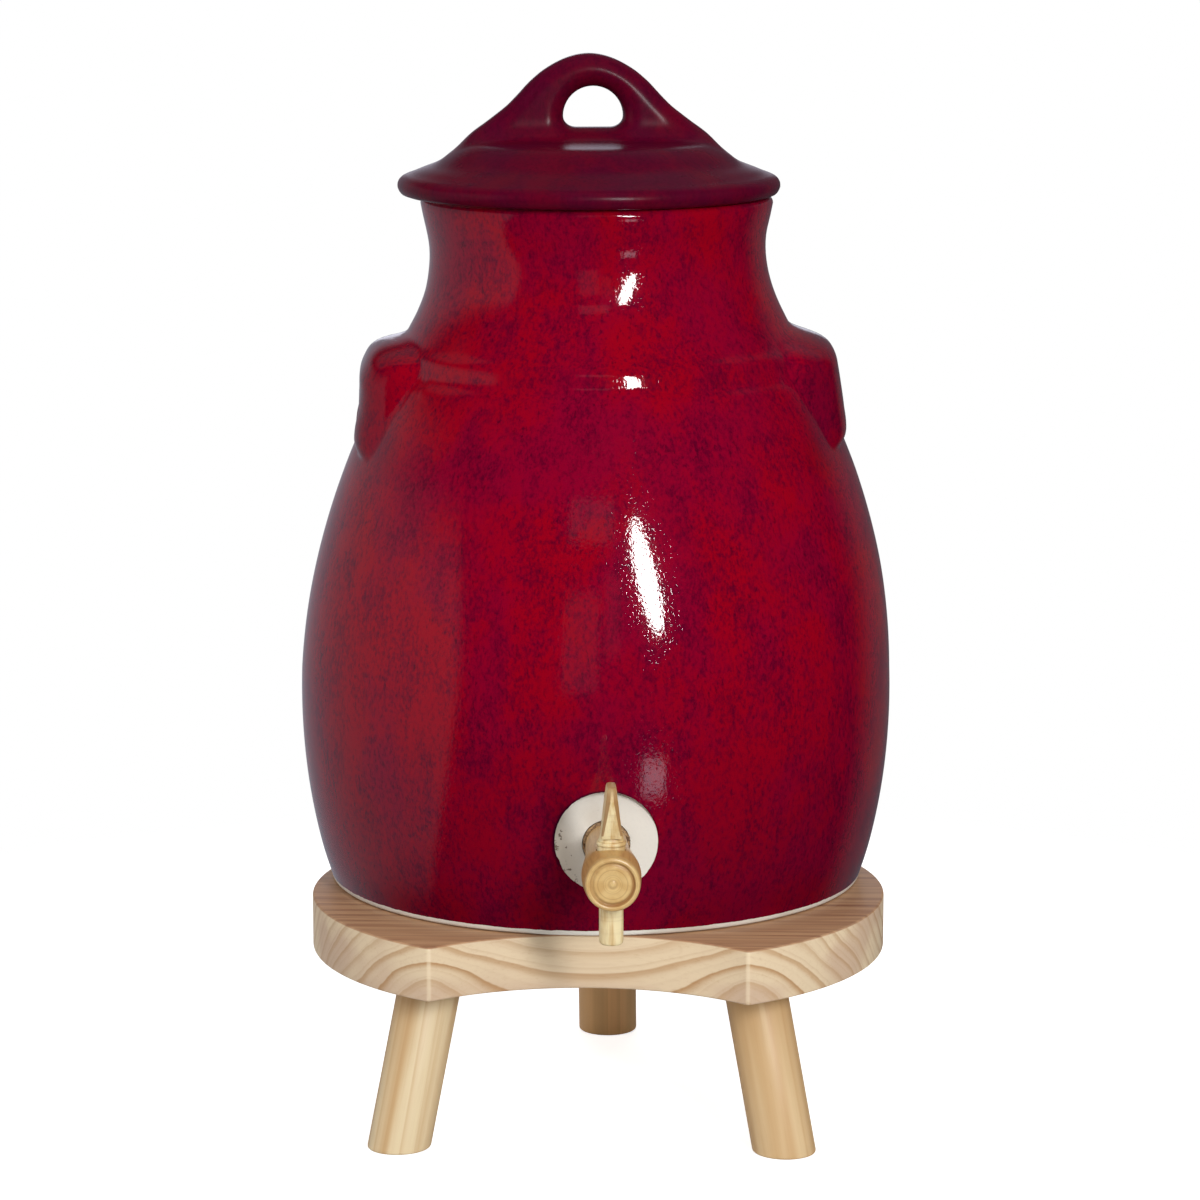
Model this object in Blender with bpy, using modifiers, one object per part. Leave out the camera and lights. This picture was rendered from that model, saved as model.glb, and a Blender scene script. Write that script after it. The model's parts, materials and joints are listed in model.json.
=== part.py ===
"""Stoneware vinegar crock with a lid and a wooden tap, standing on a three-legged pine stand.

Metres, +Z up. The floor is z = 0, and the origin is below the middle of the whole object's box.
The crock's tap points along -Y.
"""

import math

import bmesh
import bpy
from mathutils import Matrix, Vector

# Shared values
CLEARANCE = 0.0003  # gap between two pieces that touch
OVERRUN = 0.006  # how far a cutter passes the surface that it cuts
WELD = 0.00001  # points nearer than this are one point
SMOOTH_ANGLE = math.radians(35)
EASED_ANGLE = math.radians(50)

# Crock: outer shape, heights from its base
BELLY_RADIUS = 0.110
BELLY_HEIGHT = 0.071
FOOT_RADIUS = 0.0991
FOOT_ROUNDING = 0.0016
SHOULDER_RADIUS = 0.0790
SHOULDER_HEIGHT = 0.197
NECK_RADIUS = 0.0618
NECK_HEIGHT = 0.236
LIP_RADIUS = 0.0648
CROCK_HEIGHT = 0.255
WALL = 0.0065
FLOOR_THICKNESS = 0.0085
FLOOR_ROUNDING = 0.012
RIM_WIDTH = 0.0075
RIM_ROUNDING = 0.0025
# Shares of the way in radius and in height, from one named ring of the outline to the next
LIP_TO_NECK_SHARES = ((0.30, 0.30), (0.80, 0.65))
NECK_TO_SHOULDER_SHARES = ((0.06, 0.23), (0.18, 0.45), (0.37, 0.65), (0.64, 0.82))
SHOULDER_TO_BELLY_SHARES = ((0.21, 0.14), (0.40, 0.28), (0.55, 0.38), (0.765, 0.53), (0.90, 0.69),
                            (0.98, 0.85))
BELLY_TO_FOOT_SHARES = ((0.05, 0.23), (0.25, 0.50), (0.52, 0.72), (0.79, 0.89))

# Ear lugs: an arch of rolled clay on each side, with a thinner roll worked up onto the shoulder
EAR_ROLL_RADIUS = 0.0100
EAR_PROUD = 0.0098  # how far the arch's top stands out past the shoulder's radius
EAR_SPREAD = 0.0022  # how much further out its legs reach
EAR_DROP = 0.0060  # from the shoulder's height down to the centre of the roll at the top
EAR_RISE = 0.0290  # from the foot of the arch to its top
EAR_HALF_SPAN = 0.0345  # from the arch's middle to the centre of each leg
EAR_TAIL_DROP = 0.012
EAR_TAIL_SINK = 0.007
WEB_ROLL_RADIUS = 0.0058
WEB_RISE = 0.0023  # from the shoulder's height up to the centre of the web's roll
WEB_HALF_SPAN = 0.030
EAR_STEPS = 18
WEB_STEPS = 10

# Boss: the flat unglazed seat of the tap
BOSS_RADIUS = 0.0183
BOSS_SET_BACK = 0.00125  # its face lies this far behind the wall's surface at its centre
BOSS_HEIGHT = 0.0362
BOSS_MARGIN = 0.0004  # recess round the boss, beyond its edge

# Tap: its axis crosses the boss, and distances run forward from the boss's face
TAP_DROP = 0.0008  # its axis lies this far below the boss's centre
CORK_RADIUS = 0.0083
CORK_TAPER = 0.0007
CORK_PROUD = 0.0014
CORK_DEPTH = 0.019
CORK_CHAMFER = 0.0006
SHANK_RADIUS = 0.0052
SHANK_PAST_CORK = 0.006
BARREL_LENGTH = 0.060
BARREL_RADIUS = 0.0103
BARREL_FRONT_RADIUS = 0.0094
BARREL_COLLAR_RADIUS = 0.0074
BARREL_EDGE = 0.0007
GROOVE_RADIUS = 0.0071
GROOVE_WIDTH = 0.0012
GROOVE_DEPTH = 0.0006
NUB_RADIUS = 0.0011
BARREL_BORE_RADIUS = 0.0024
KEY_BEHIND_FRONT = 0.014
# Shares of the barrel's swelling and of its length from the collar to the key
SWELLING_SHARES = ((0.0, 0.0), (0.06, 0.15), (0.20, 0.40), (0.48, 0.65), (0.82, 0.85), (1.0, 1.0))

# Key: a tapered plug whose lower end is the spout, heights from the tap's axis
PLUG_TOP_RADIUS = 0.0049
SPOUT_RADIUS = 0.0042
SPOUT_DROP = 0.0242
SPOUT_EDGE = 0.0005
SPOUT_BORE_RADIUS = 0.0022
BEAD_RADIUS = 0.0052
BEAD_HEIGHT = 0.0016
KEY_NECK_RADIUS = 0.0037
KEY_NECK_HEIGHT = 0.0022
PADDLE_HEIGHT = 0.0180
PADDLE_THICKNESS = 0.0069
PADDLE_TIP_THICKNESS = 0.0031
PADDLE_FOOT_WIDTH = 0.0110
PADDLE_TIP_WIDTH = 0.0165
PADDLE_CHAMFER = 0.0012
PORT_RADIUS = 0.0021

# Lid: heights from the face that rests on the rim
LID_ASIDE = 0.0025  # the lid lies this far off the crock's axis, within its slack
LID_OVERHANG = 0.0059  # past the crock's lip
LID_EDGE_THICKNESS = 0.0074
LID_TOP_RADIUS = 0.0440
LID_TOP_HEIGHT = 0.0200
LID_WALL = 0.0068
FLANGE_SLACK = 0.0053  # from the flange to the mouth's inside
FLANGE_WALL = 0.0060
FLANGE_DEPTH = 0.0105
FLANGE_ROUNDING = 0.0015
# Shares of the way in radius and in height, from the lid's flat top to its edge
LID_SLOPE_SHARES = ((0.085, 0.045), (0.17, 0.135), (0.26, 0.285), (0.34, 0.42), (0.41, 0.54),
                    (0.50, 0.645), (0.65, 0.75), (0.83, 0.875), (0.96, 0.98))
GRIP_LENGTH = 0.0860
GRIP_HEIGHT = 0.0317
GRIP_THICKNESS = 0.0150
GRIP_ROUNDING = 0.0045
GRIP_ROUNDING_SHARE = 0.45  # the most that the rounding takes of the wall that it is on
GRIP_BED = 0.0006  # wall of the lid left under the grip's foot
# Shares of the grip's half length and of its height, from its foot up to its top
GRIP_SHARES = ((1.0, 0.02), (0.945, 0.12), (0.845, 0.24), (0.70, 0.39), (0.60, 0.53), (0.515, 0.66),
               (0.405, 0.79), (0.30, 0.88), (0.20, 0.945), (0.10, 0.985))
HOLE_WIDTH = 0.0220
HOLE_FLOOR = 0.0040
HOLE_HEIGHT = 0.0157
HOLE_ASIDE = 0.0015

# Stand
SEAT_RADIUS = 0.106
SEAT_THICKNESS = 0.0198
SEAT_HEIGHT = 0.0807
SEAT_EASING = 0.0008
STAND_FORWARD = 0.027  # the seat's centre lies this far in front of the crock's axis
STAND_TURN = math.radians(-4.3)  # the crock isn't set down square on its stand
NOTCH_RADIUS = 0.0855
NOTCH_CENTRE = 0.1543  # from the seat's centre to the centre of the notch's arc
LEG_RADIUS = 0.0113
LEG_INSET = 0.0115  # where the legs' axes meet the floor, in from the seat's edge
LEG_SPLAY = math.radians(14.3)
LEG_FRONT_ANGLE = math.radians(47.4)
LEG_EASING = 0.0009
SOCKET_ROOF = 0.0050  # wood left over the highest point of each socket

# Numbers of sides
CROCK_SIDES = 56
LID_SIDES = 48
ROLL_RESOLUTION = 4
BOSS_SIDES = 40
TAP_SIDES = 28
KEY_SIDES = 24
BORE_SIDES = 16
SEAT_SIDES = 60
NOTCH_SIDES = 16
LEG_SIDES = 28
ARC_STEPS = 3

# Where the pieces meet
CROCK_Z = SEAT_HEIGHT + CLEARANCE
MOUTH_RADIUS = LIP_RADIUS - RIM_WIDTH
LID_RADIUS = LIP_RADIUS + LID_OVERHANG
FLANGE_RADIUS = MOUTH_RADIUS - FLANGE_SLACK
EAR_REACH = SHOULDER_RADIUS + EAR_PROUD
EAR_TOP_HEIGHT = SHOULDER_HEIGHT - EAR_DROP
EAR_FOOT_HEIGHT = EAR_TOP_HEIGHT - EAR_RISE
WEB_HEIGHT = SHOULDER_HEIGHT + WEB_RISE
TAP_HEIGHT = BOSS_HEIGHT - TAP_DROP
KEY_FORWARD = BARREL_LENGTH - KEY_BEHIND_FRONT
CORK_HOLE_TAPER = CORK_TAPER / (CORK_PROUD + CORK_DEPTH)
LEG_CIRCLE = SEAT_RADIUS - LEG_INSET


def new_collection(name):
    """A collection of this name in the scene."""
    made = bpy.data.collections.new(name)
    bpy.context.scene.collection.children.link(made)
    return made


def clear_scene():
    """Removes every object that the scene holds at the start."""
    for obj in list(bpy.data.objects):
        bpy.data.objects.remove(obj, do_unlink=True)


def new_material(name, colour, roughness):
    """A plain Principled material."""
    made = bpy.data.materials.new(name)
    made.use_nodes = True
    shader = made.node_tree.nodes["Principled BSDF"]
    shader.inputs["Base Color"].default_value = (*colour, 1)
    shader.inputs["Roughness"].default_value = roughness
    shader.inputs["Metallic"].default_value = 0
    return made


def place(obj, parent, location=(0, 0, 0), rotation=(0, 0, 0)):
    """Puts the object at a location and rotation in its parent's frame."""
    obj.parent = parent
    obj.location = location
    obj.rotation_euler = rotation
    return obj


def new_frame(name, parent, location, rotation=(0, 0, 0)):
    """An empty that carries other objects."""
    empty = bpy.data.objects.new(name, None)
    guides.objects.link(empty)
    return place(empty, parent, location, rotation)


def new_object(name, mesh, collection, material=None):
    """An object that shows this mesh, a helper where it has no material."""
    obj = bpy.data.objects.new(name, mesh)
    collection.objects.link(obj)
    if material:
        mesh.materials.append(material)
    else:
        obj.hide_render = True
        obj.display_type = "WIRE"
    return obj


def from_bmesh(name, bm, collection, material=None):
    """An object made from a bmesh, shaded smooth up to its real edges."""
    mesh = bpy.data.meshes.new(name)
    bm.to_mesh(mesh)
    bm.free()
    mesh.shade_smooth()
    mesh.set_sharp_from_angle(angle=SMOOTH_ANGLE)
    return new_object(name, mesh, collection, material)


def turned(name, profile, sides, collection, material=None, hollow=()):
    """A turned solid: the (radius, height) points run from the top down the outside.

    The points of a hollow, if any, run on from there and back up to the first point.
    """
    points = [*profile, *hollow]
    edges = [(i, i + 1) for i in range(len(points) - 1) if points[i][0] or points[i + 1][0]]
    if hollow:
        edges.append((len(points) - 1, 0))
    mesh = bpy.data.meshes.new(name)
    mesh.from_pydata([(radius, 0, height) for radius, height in points], edges, [])
    obj = new_object(name, mesh, collection, material)
    screw = obj.modifiers.new("turn", "SCREW")
    screw.steps = sides
    screw.render_steps = sides
    screw.use_smooth_shade = True
    screw.use_merge_vertices = True
    screw.merge_threshold = WELD
    return obj


def cone(name, radius_low, radius_top, low, top, sides, collection, material=None):
    """A cylinder or cone about Z between two heights."""
    bm = bmesh.new()
    bmesh.ops.create_cone(bm, cap_ends=True, segments=sides, radius1=radius_low, radius2=radius_top,
                          depth=top - low, matrix=Matrix.Translation((0, 0, (top + low) / 2)))
    return from_bmesh(name, bm, collection, material)


def mesh_from_curve(name, curve, collection, material=None):
    """Turns a curve object into a mesh object in the same place, with its caps welded on."""
    bpy.context.view_layer.update()
    graph = bpy.context.evaluated_depsgraph_get()
    mesh = bpy.data.meshes.new_from_object(curve.evaluated_get(graph))
    bm = bmesh.new()
    bm.from_mesh(mesh)
    bmesh.ops.remove_doubles(bm, verts=bm.verts, dist=WELD)
    bmesh.ops.recalc_face_normals(bm, faces=bm.faces)
    bm.to_mesh(mesh)
    bm.free()
    mesh.materials.clear()
    mesh.shade_smooth()
    mesh.set_sharp_from_angle(angle=SMOOTH_ANGLE)
    made = new_object(name, mesh, collection, material)
    made.matrix_world = curve.matrix_world
    data = curve.data
    bpy.data.objects.remove(curve)
    bpy.data.curves.remove(data)
    return made


def roll(name, points, radii, parent):
    """A roll of clay along these points, with its own radius at each."""
    data = bpy.data.curves.new(f"{name}_path", "CURVE")
    data.dimensions = "3D"
    data.bevel_depth = max(radii)
    data.bevel_resolution = ROLL_RESOLUTION
    data.use_fill_caps = True
    spline = data.splines.new("POLY")
    spline.points.add(len(points) - 1)
    for target, point, radius in zip(spline.points, points, radii):
        target.co = (*point, 1)
        target.radius = radius / max(radii)
    curve = bpy.data.objects.new(f"{name}_path", data)
    helpers.objects.link(curve)
    place(curve, parent)
    return mesh_from_curve(name, curve, helpers)


def plate(name, outlines, thickness, rounding, collection, material=None):
    """A flat outline, with any holes, made a plate about its own XY plane with rounded edges."""
    data = bpy.data.curves.new(f"{name}_outline", "CURVE")
    data.dimensions = "2D"
    data.fill_mode = "BOTH"
    data.extrude = thickness / 2 - rounding
    data.bevel_depth = rounding
    data.bevel_resolution = ARC_STEPS - 1
    data.offset = -rounding
    for outline in outlines:
        spline = data.splines.new("POLY")
        spline.points.add(len(outline) - 1)
        for target, (x, y) in zip(spline.points, outline):
            target.co = (x, y, 0, 1)
        spline.use_cyclic_u = True
    curve = bpy.data.objects.new(f"{name}_outline", data)
    helpers.objects.link(curve)
    return mesh_from_curve(name, curve, collection, material)


def combine(obj, other, operation):
    """Adds a Boolean modifier: UNION, DIFFERENCE or INTERSECT."""
    modifier = obj.modifiers.new(f"{operation.lower()}_{other.name}", "BOOLEAN")
    modifier.operation = operation
    modifier.solver = "EXACT"
    modifier.object = other


def ease_edges(obj, width):
    """Rounds the sharp edges of an object a little."""
    modifier = obj.modifiers.new("ease", "BEVEL")
    modifier.width = width
    modifier.segments = 2
    modifier.limit_method = "ANGLE"
    modifier.angle_limit = EASED_ANGLE


def between(start, end, shares):
    """Points on the way from one (radius, height) to another, at shares of both ways."""
    return [(start[0] + (end[0] - start[0]) * outward, start[1] + (end[1] - start[1]) * along)
            for outward, along in shares]


def arc(centre, radius, first, last, steps=ARC_STEPS):
    """Points of an arc about a (radius, height) centre, between two angles in degrees."""
    angles = [math.radians(first + (last - first) * i / steps) for i in range(steps + 1)]
    return [(centre[0] + radius * math.cos(a), centre[1] + radius * math.sin(a)) for a in angles]


def crock_side():
    """The crock's outer outline from just under the lip down to just above the foot."""
    lip = (LIP_RADIUS, CROCK_HEIGHT - RIM_ROUNDING)
    neck = (NECK_RADIUS, NECK_HEIGHT)
    shoulder = (SHOULDER_RADIUS, SHOULDER_HEIGHT)
    belly = (BELLY_RADIUS, BELLY_HEIGHT)
    foot = (FOOT_RADIUS, FOOT_ROUNDING)
    return [lip, *between(lip, neck, LIP_TO_NECK_SHARES),
            neck, *between(neck, shoulder, NECK_TO_SHOULDER_SHARES),
            shoulder, *between(shoulder, belly, SHOULDER_TO_BELLY_SHARES),
            belly, *between(belly, foot, BELLY_TO_FOOT_SHARES), foot]


def boss_reach():
    """How far in front of the crock's axis the boss's face lies, set into the wall behind it."""
    side = crock_side()
    for (above, high), (below, low) in zip(side, side[1:]):
        if low <= BOSS_HEIGHT <= high:
            share = (BOSS_HEIGHT - low) / (high - low)
            return below + (above - below) * share - BOSS_SET_BACK
    return BELLY_RADIUS - BOSS_SET_BACK


def side_inside(depth):
    """Every second point of the crock's outline, moved inwards, from the neck down to the floor."""
    side = crock_side()
    inner = [(radius - depth, height) for radius, height in side[1::2]]
    return [point for point in inner if point[1] > FLOOR_THICKNESS + FLOOR_ROUNDING]


def foot_radius_inside(depth):
    """The crock's radius where the floor's rounding starts, moved inwards."""
    above, below = [point for point in crock_side() if point[1] < BELLY_HEIGHT][:2]
    return side_inside(depth)[-1][0] - (above[0] - below[0]) / (above[1] - below[1]) * FLOOR_ROUNDING


def make_crock(parent):
    """The body: a thrown pot with an ear lug on each side and a flat boss for the tap."""
    reach = boss_reach()
    inner = side_inside(WALL)
    corner = foot_radius_inside(WALL) - FLOOR_ROUNDING
    profile = [*arc((MOUTH_RADIUS + RIM_ROUNDING, CROCK_HEIGHT - RIM_ROUNDING), RIM_ROUNDING, 180, 90),
               *arc((LIP_RADIUS - RIM_ROUNDING, CROCK_HEIGHT - RIM_ROUNDING), RIM_ROUNDING, 90, 0)[:-1],
               *crock_side(),
               *arc((FOOT_RADIUS - FOOT_ROUNDING, FOOT_ROUNDING), FOOT_ROUNDING, 0, -90)[1:],
               (0, 0)]
    hollow = [(0, FLOOR_THICKNESS),
              *arc((corner, FLOOR_THICKNESS + FLOOR_ROUNDING), FLOOR_ROUNDING, -90, 0), *reversed(inner)]
    crock = turned("crock_body", profile, CROCK_SIDES, parts, glaze, hollow)
    place(crock, parent)

    core = turned("crock_core", [(0, CROCK_HEIGHT), *side_inside(WALL / 2), (0, FLOOR_THICKNESS / 2)],
                  CROCK_SIDES, helpers)
    place(core, parent)
    for side in (-1, 1):
        for lug in make_ear(side, parent):
            combine(lug, core, "DIFFERENCE")
            combine(crock, lug, "UNION")

    forward = (math.radians(90), 0, 0)
    boss = cone("boss_pad", BOSS_RADIUS, BOSS_RADIUS, reach - WALL - OVERRUN, BELLY_RADIUS + OVERRUN,
                BOSS_SIDES, helpers)
    place(boss, parent, (0, 0, BOSS_HEIGHT), forward)
    combine(boss, core, "DIFFERENCE")
    combine(crock, boss, "UNION")
    recess = cone("boss_recess", BOSS_RADIUS + BOSS_MARGIN, BOSS_RADIUS + BOSS_MARGIN, reach,
                  BELLY_RADIUS + OVERRUN + OVERRUN, BOSS_SIDES, helpers)
    place(recess, parent, (0, 0, BOSS_HEIGHT), forward)
    combine(crock, recess, "DIFFERENCE")
    hole_back = -WALL - OVERRUN
    hole = cone("cork_hole", cork_radius_at(hole_back) + CLEARANCE, cork_radius_at(OVERRUN) + CLEARANCE,
                hole_back, OVERRUN, TAP_SIDES, helpers)
    place(hole, parent, (0, -reach, TAP_HEIGHT), forward)
    combine(crock, hole, "DIFFERENCE")
    return crock


def make_ear(side, parent):
    """One ear lug: the arch, and the thinner roll that fills its angle with the shoulder."""
    word = "left" if side < 0 else "right"
    top = Vector((side * (EAR_REACH - EAR_ROLL_RADIUS), 0, EAR_TOP_HEIGHT))
    points, radii = [], []
    for i in range(EAR_STEPS + 1):
        angle = math.pi * i / EAR_STEPS
        rise = math.sin(angle)
        points.append((top.x + side * EAR_SPREAD * (1 - rise), EAR_HALF_SPAN * math.cos(angle),
                       EAR_FOOT_HEIGHT + (EAR_TOP_HEIGHT - EAR_FOOT_HEIGHT) * rise))
        radii.append(EAR_ROLL_RADIUS)
    for end, place_at in ((points[0], 0), (points[-1], len(points) + 1)):
        tail = (end[0] - side * EAR_TAIL_SINK, end[1], end[2] - EAR_TAIL_DROP)
        points.insert(place_at, tail)
        radii.insert(place_at, EAR_ROLL_RADIUS)
    arch = roll(f"ear_{word}", points, radii, parent)

    points, radii = [], []
    for i in range(WEB_STEPS + 1):
        angle = math.pi * i / WEB_STEPS
        rise = math.sin(angle)
        points.append((side * (SHOULDER_RADIUS - WEB_ROLL_RADIUS), WEB_HALF_SPAN * math.cos(angle),
                       EAR_TOP_HEIGHT + (WEB_HEIGHT - EAR_TOP_HEIGHT) * rise))
        radii.append(WEB_ROLL_RADIUS)
    web = roll(f"ear_web_{word}", points, radii, parent)
    return arch, web


def cork_radius_at(forward):
    """The cork's radius at a distance in front of the boss's face."""
    return CORK_RADIUS - CORK_HOLE_TAPER * (CORK_PROUD - forward)


def make_cork(parent):
    """The cork that seals the tap in the wall, with a hole for the tap's shank."""
    hole = SHANK_RADIUS + CLEARANCE
    back = -CORK_DEPTH
    profile = [(hole, CORK_PROUD), (CORK_RADIUS - CORK_CHAMFER, CORK_PROUD),
               (CORK_RADIUS, CORK_PROUD - CORK_CHAMFER), (cork_radius_at(back), back)]
    cork = turned("tap_cork", profile, TAP_SIDES, parts, cork_material, [(hole, back)])
    return place(cork, parent, rotation=(math.radians(90), 0, 0))


def make_barrel(parent):
    """The tap's turned body: shank, swelling, and a front with turned rings."""
    collar = CORK_PROUD + CLEARANCE
    back = -CORK_DEPTH - SHANK_PAST_CORK
    front = BARREL_LENGTH
    groove = front - GROOVE_DEPTH
    swelling = between((BARREL_COLLAR_RADIUS, collar), (BARREL_RADIUS, KEY_FORWARD), SWELLING_SHARES)
    half = GROOVE_WIDTH / 2
    nub = front - GROOVE_DEPTH / 2
    profile = [(0, nub), (NUB_RADIUS, nub), (NUB_RADIUS * 2, groove),
               (GROOVE_RADIUS - half, front), (GROOVE_RADIUS, groove), (GROOVE_RADIUS + half, front),
               (BARREL_FRONT_RADIUS - BARREL_EDGE, front), (BARREL_FRONT_RADIUS, front - BARREL_EDGE),
               *reversed(swelling), (SHANK_RADIUS, collar), (SHANK_RADIUS, back), (0, back)]
    barrel = turned("tap_barrel", profile, TAP_SIDES, parts, boxwood)
    place(barrel, parent, rotation=(math.radians(90), 0, 0))

    bore = cone("tap_bore", BARREL_BORE_RADIUS, BARREL_BORE_RADIUS, back - OVERRUN, KEY_FORWARD,
                BORE_SIDES, helpers)
    place(bore, parent, rotation=(math.radians(90), 0, 0))
    combine(barrel, bore, "DIFFERENCE")
    reach = BARREL_RADIUS + OVERRUN
    slope = (PLUG_TOP_RADIUS - SPOUT_RADIUS) / (BARREL_RADIUS * 2)
    middle = (PLUG_TOP_RADIUS + SPOUT_RADIUS) / 2 + CLEARANCE
    socket = cone("key_socket", middle - slope * reach, middle + slope * reach, -reach, reach,
                  KEY_SIDES, helpers)
    place(socket, parent, (0, -KEY_FORWARD, 0))
    combine(barrel, socket, "DIFFERENCE")
    return barrel


def make_key(parent):
    """The key: paddle, bead and tapered plug with a bored spout, about its own turning axis."""
    seat = BARREL_RADIUS + CLEARANCE
    bead_top = seat + BEAD_HEIGHT
    neck_top = bead_top + KEY_NECK_HEIGHT
    spout_end = -SPOUT_DROP
    profile = [(0, neck_top), (KEY_NECK_RADIUS, neck_top), (KEY_NECK_RADIUS, bead_top),
               *arc((BEAD_RADIUS - BEAD_HEIGHT / 2, seat + BEAD_HEIGHT / 2), BEAD_HEIGHT / 2, 90, -90),
               (PLUG_TOP_RADIUS, seat), (SPOUT_RADIUS, -BARREL_RADIUS),
               (SPOUT_RADIUS, spout_end + SPOUT_EDGE), (SPOUT_RADIUS - SPOUT_EDGE, spout_end),
               (0, spout_end)]
    key = turned("tap_key", profile, KEY_SIDES, parts, boxwood)
    place(key, parent)

    low = neck_top - KEY_NECK_HEIGHT / 2
    top = neck_top + PADDLE_HEIGHT
    bm = bmesh.new()
    bmesh.ops.create_cube(bm, size=1)
    for vert in bm.verts:
        upper = vert.co.z > 0
        vert.co.x *= PADDLE_TIP_THICKNESS if upper else PADDLE_THICKNESS
        vert.co.y *= PADDLE_TIP_WIDTH if upper else PADDLE_FOOT_WIDTH
        vert.co.z = top if upper else low
    paddle = from_bmesh("key_paddle", bm, helpers)
    chamfer = paddle.modifiers.new("chamfer", "BEVEL")
    chamfer.width = PADDLE_CHAMFER
    chamfer.segments = 2
    chamfer.limit_method = "ANGLE"
    place(paddle, parent)
    combine(key, paddle, "UNION")

    bore = cone("spout_bore", SPOUT_BORE_RADIUS, SPOUT_BORE_RADIUS, spout_end - OVERRUN, PORT_RADIUS,
                BORE_SIDES, helpers)
    place(bore, parent)
    combine(key, bore, "DIFFERENCE")
    port = cone("key_port", PORT_RADIUS, PORT_RADIUS, 0, PLUG_TOP_RADIUS + OVERRUN, BORE_SIDES, helpers)
    place(port, parent, rotation=(0, math.radians(90), 0))
    combine(key, port, "DIFFERENCE")
    return key


def make_lid(parent):
    """The lid: a turned cap with a locating flange, and an arched grip with a finger hole."""
    half_edge = LID_EDGE_THICKNESS / 2
    top = (LID_TOP_RADIUS, LID_TOP_HEIGHT)
    edge = (LID_RADIUS - half_edge, LID_EDGE_THICKNESS)
    inside = FLANGE_RADIUS - FLANGE_WALL
    flange_corner = FLANGE_ROUNDING - FLANGE_DEPTH
    under_top = (LID_TOP_RADIUS - LID_WALL, LID_TOP_HEIGHT - LID_WALL)
    profile = [(0, LID_TOP_HEIGHT), top, *between(top, edge, LID_SLOPE_SHARES),
               *arc((LID_RADIUS - half_edge, half_edge), half_edge, 75, -90, ARC_STEPS * 2),
               (FLANGE_RADIUS, 0),
               *arc((FLANGE_RADIUS - FLANGE_ROUNDING, flange_corner), FLANGE_ROUNDING, 0, -90),
               *arc((inside + FLANGE_ROUNDING, flange_corner), FLANGE_ROUNDING, -90, -180),
               (inside, LID_EDGE_THICKNESS / 2), under_top, (0, under_top[1])]
    lid = turned("lid", profile, LID_SIDES, parts, lid_glaze)
    place(lid, parent)

    half = GRIP_LENGTH / 2
    side = [(half * outward, LID_TOP_HEIGHT + GRIP_HEIGHT * up) for outward, up in GRIP_SHARES]
    foot = LID_TOP_HEIGHT - LID_WALL + GRIP_BED
    over_hole = GRIP_HEIGHT - HOLE_FLOOR - HOLE_HEIGHT
    thinnest = min(GRIP_THICKNESS, LID_TOP_HEIGHT + HOLE_FLOOR - foot, over_hole)
    rounding = min(GRIP_ROUNDING, thinnest * GRIP_ROUNDING_SHARE)
    outline = [(half, foot), *side, (0, LID_TOP_HEIGHT + GRIP_HEIGHT),
               *[(-x, z) for x, z in reversed(side)], (-half, foot)]
    grip = plate("grip", [outline, hole_outline()], GRIP_THICKNESS, rounding, helpers)
    place(grip, parent, rotation=(math.radians(90), 0, 0))
    combine(lid, grip, "UNION")
    return lid


def hole_outline():
    """The grip's finger hole: a flat floor with round corners, under a round arch."""
    radius = HOLE_WIDTH / 2
    low = LID_TOP_HEIGHT + HOLE_FLOOR
    spring = low + HOLE_HEIGHT - radius
    corner = min(radius / 2, spring - low)
    right = [*arc((radius - corner, low + corner), corner, -90, 0),
             *arc((0, spring), radius, 0, 90, ARC_STEPS * 2)]
    left = [(-x, z) for x, z in reversed(right[:-1])]
    return [(x + HOLE_ASIDE, z) for x, z in right + left]


def seat_outline():
    """The seat: a disc with a shallow arc cut out of its front."""
    ahead = (SEAT_RADIUS ** 2 - NOTCH_RADIUS ** 2 + NOTCH_CENTRE ** 2) / (NOTCH_CENTRE * 2)
    aside = math.sqrt(SEAT_RADIUS ** 2 - ahead ** 2)
    disc_from = math.atan2(-ahead, aside)
    disc_turn = math.pi - disc_from * 2
    notch_from = math.atan2(NOTCH_CENTRE - ahead, -aside)
    notch_turn = math.pi - notch_from * 2
    points = []
    for i in range(SEAT_SIDES + 1):
        angle = disc_from + disc_turn * i / SEAT_SIDES
        points.append((SEAT_RADIUS * math.cos(angle), SEAT_RADIUS * math.sin(angle)))
    for i in range(1, NOTCH_SIDES):
        angle = notch_from + notch_turn * i / NOTCH_SIDES
        points.append((NOTCH_RADIUS * math.cos(angle), NOTCH_RADIUS * math.sin(angle) - NOTCH_CENTRE))
    return points


def leg_rotation(angle):
    """The rotation of a leg that splays outwards at this angle from the stand's front."""
    outward = Vector((math.sin(angle), -math.cos(angle), 0))
    along = Vector((0, 0, 1)) * math.cos(LEG_SPLAY) - outward * math.sin(LEG_SPLAY)
    return along.to_track_quat("Z", "Y").to_euler()


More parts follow.
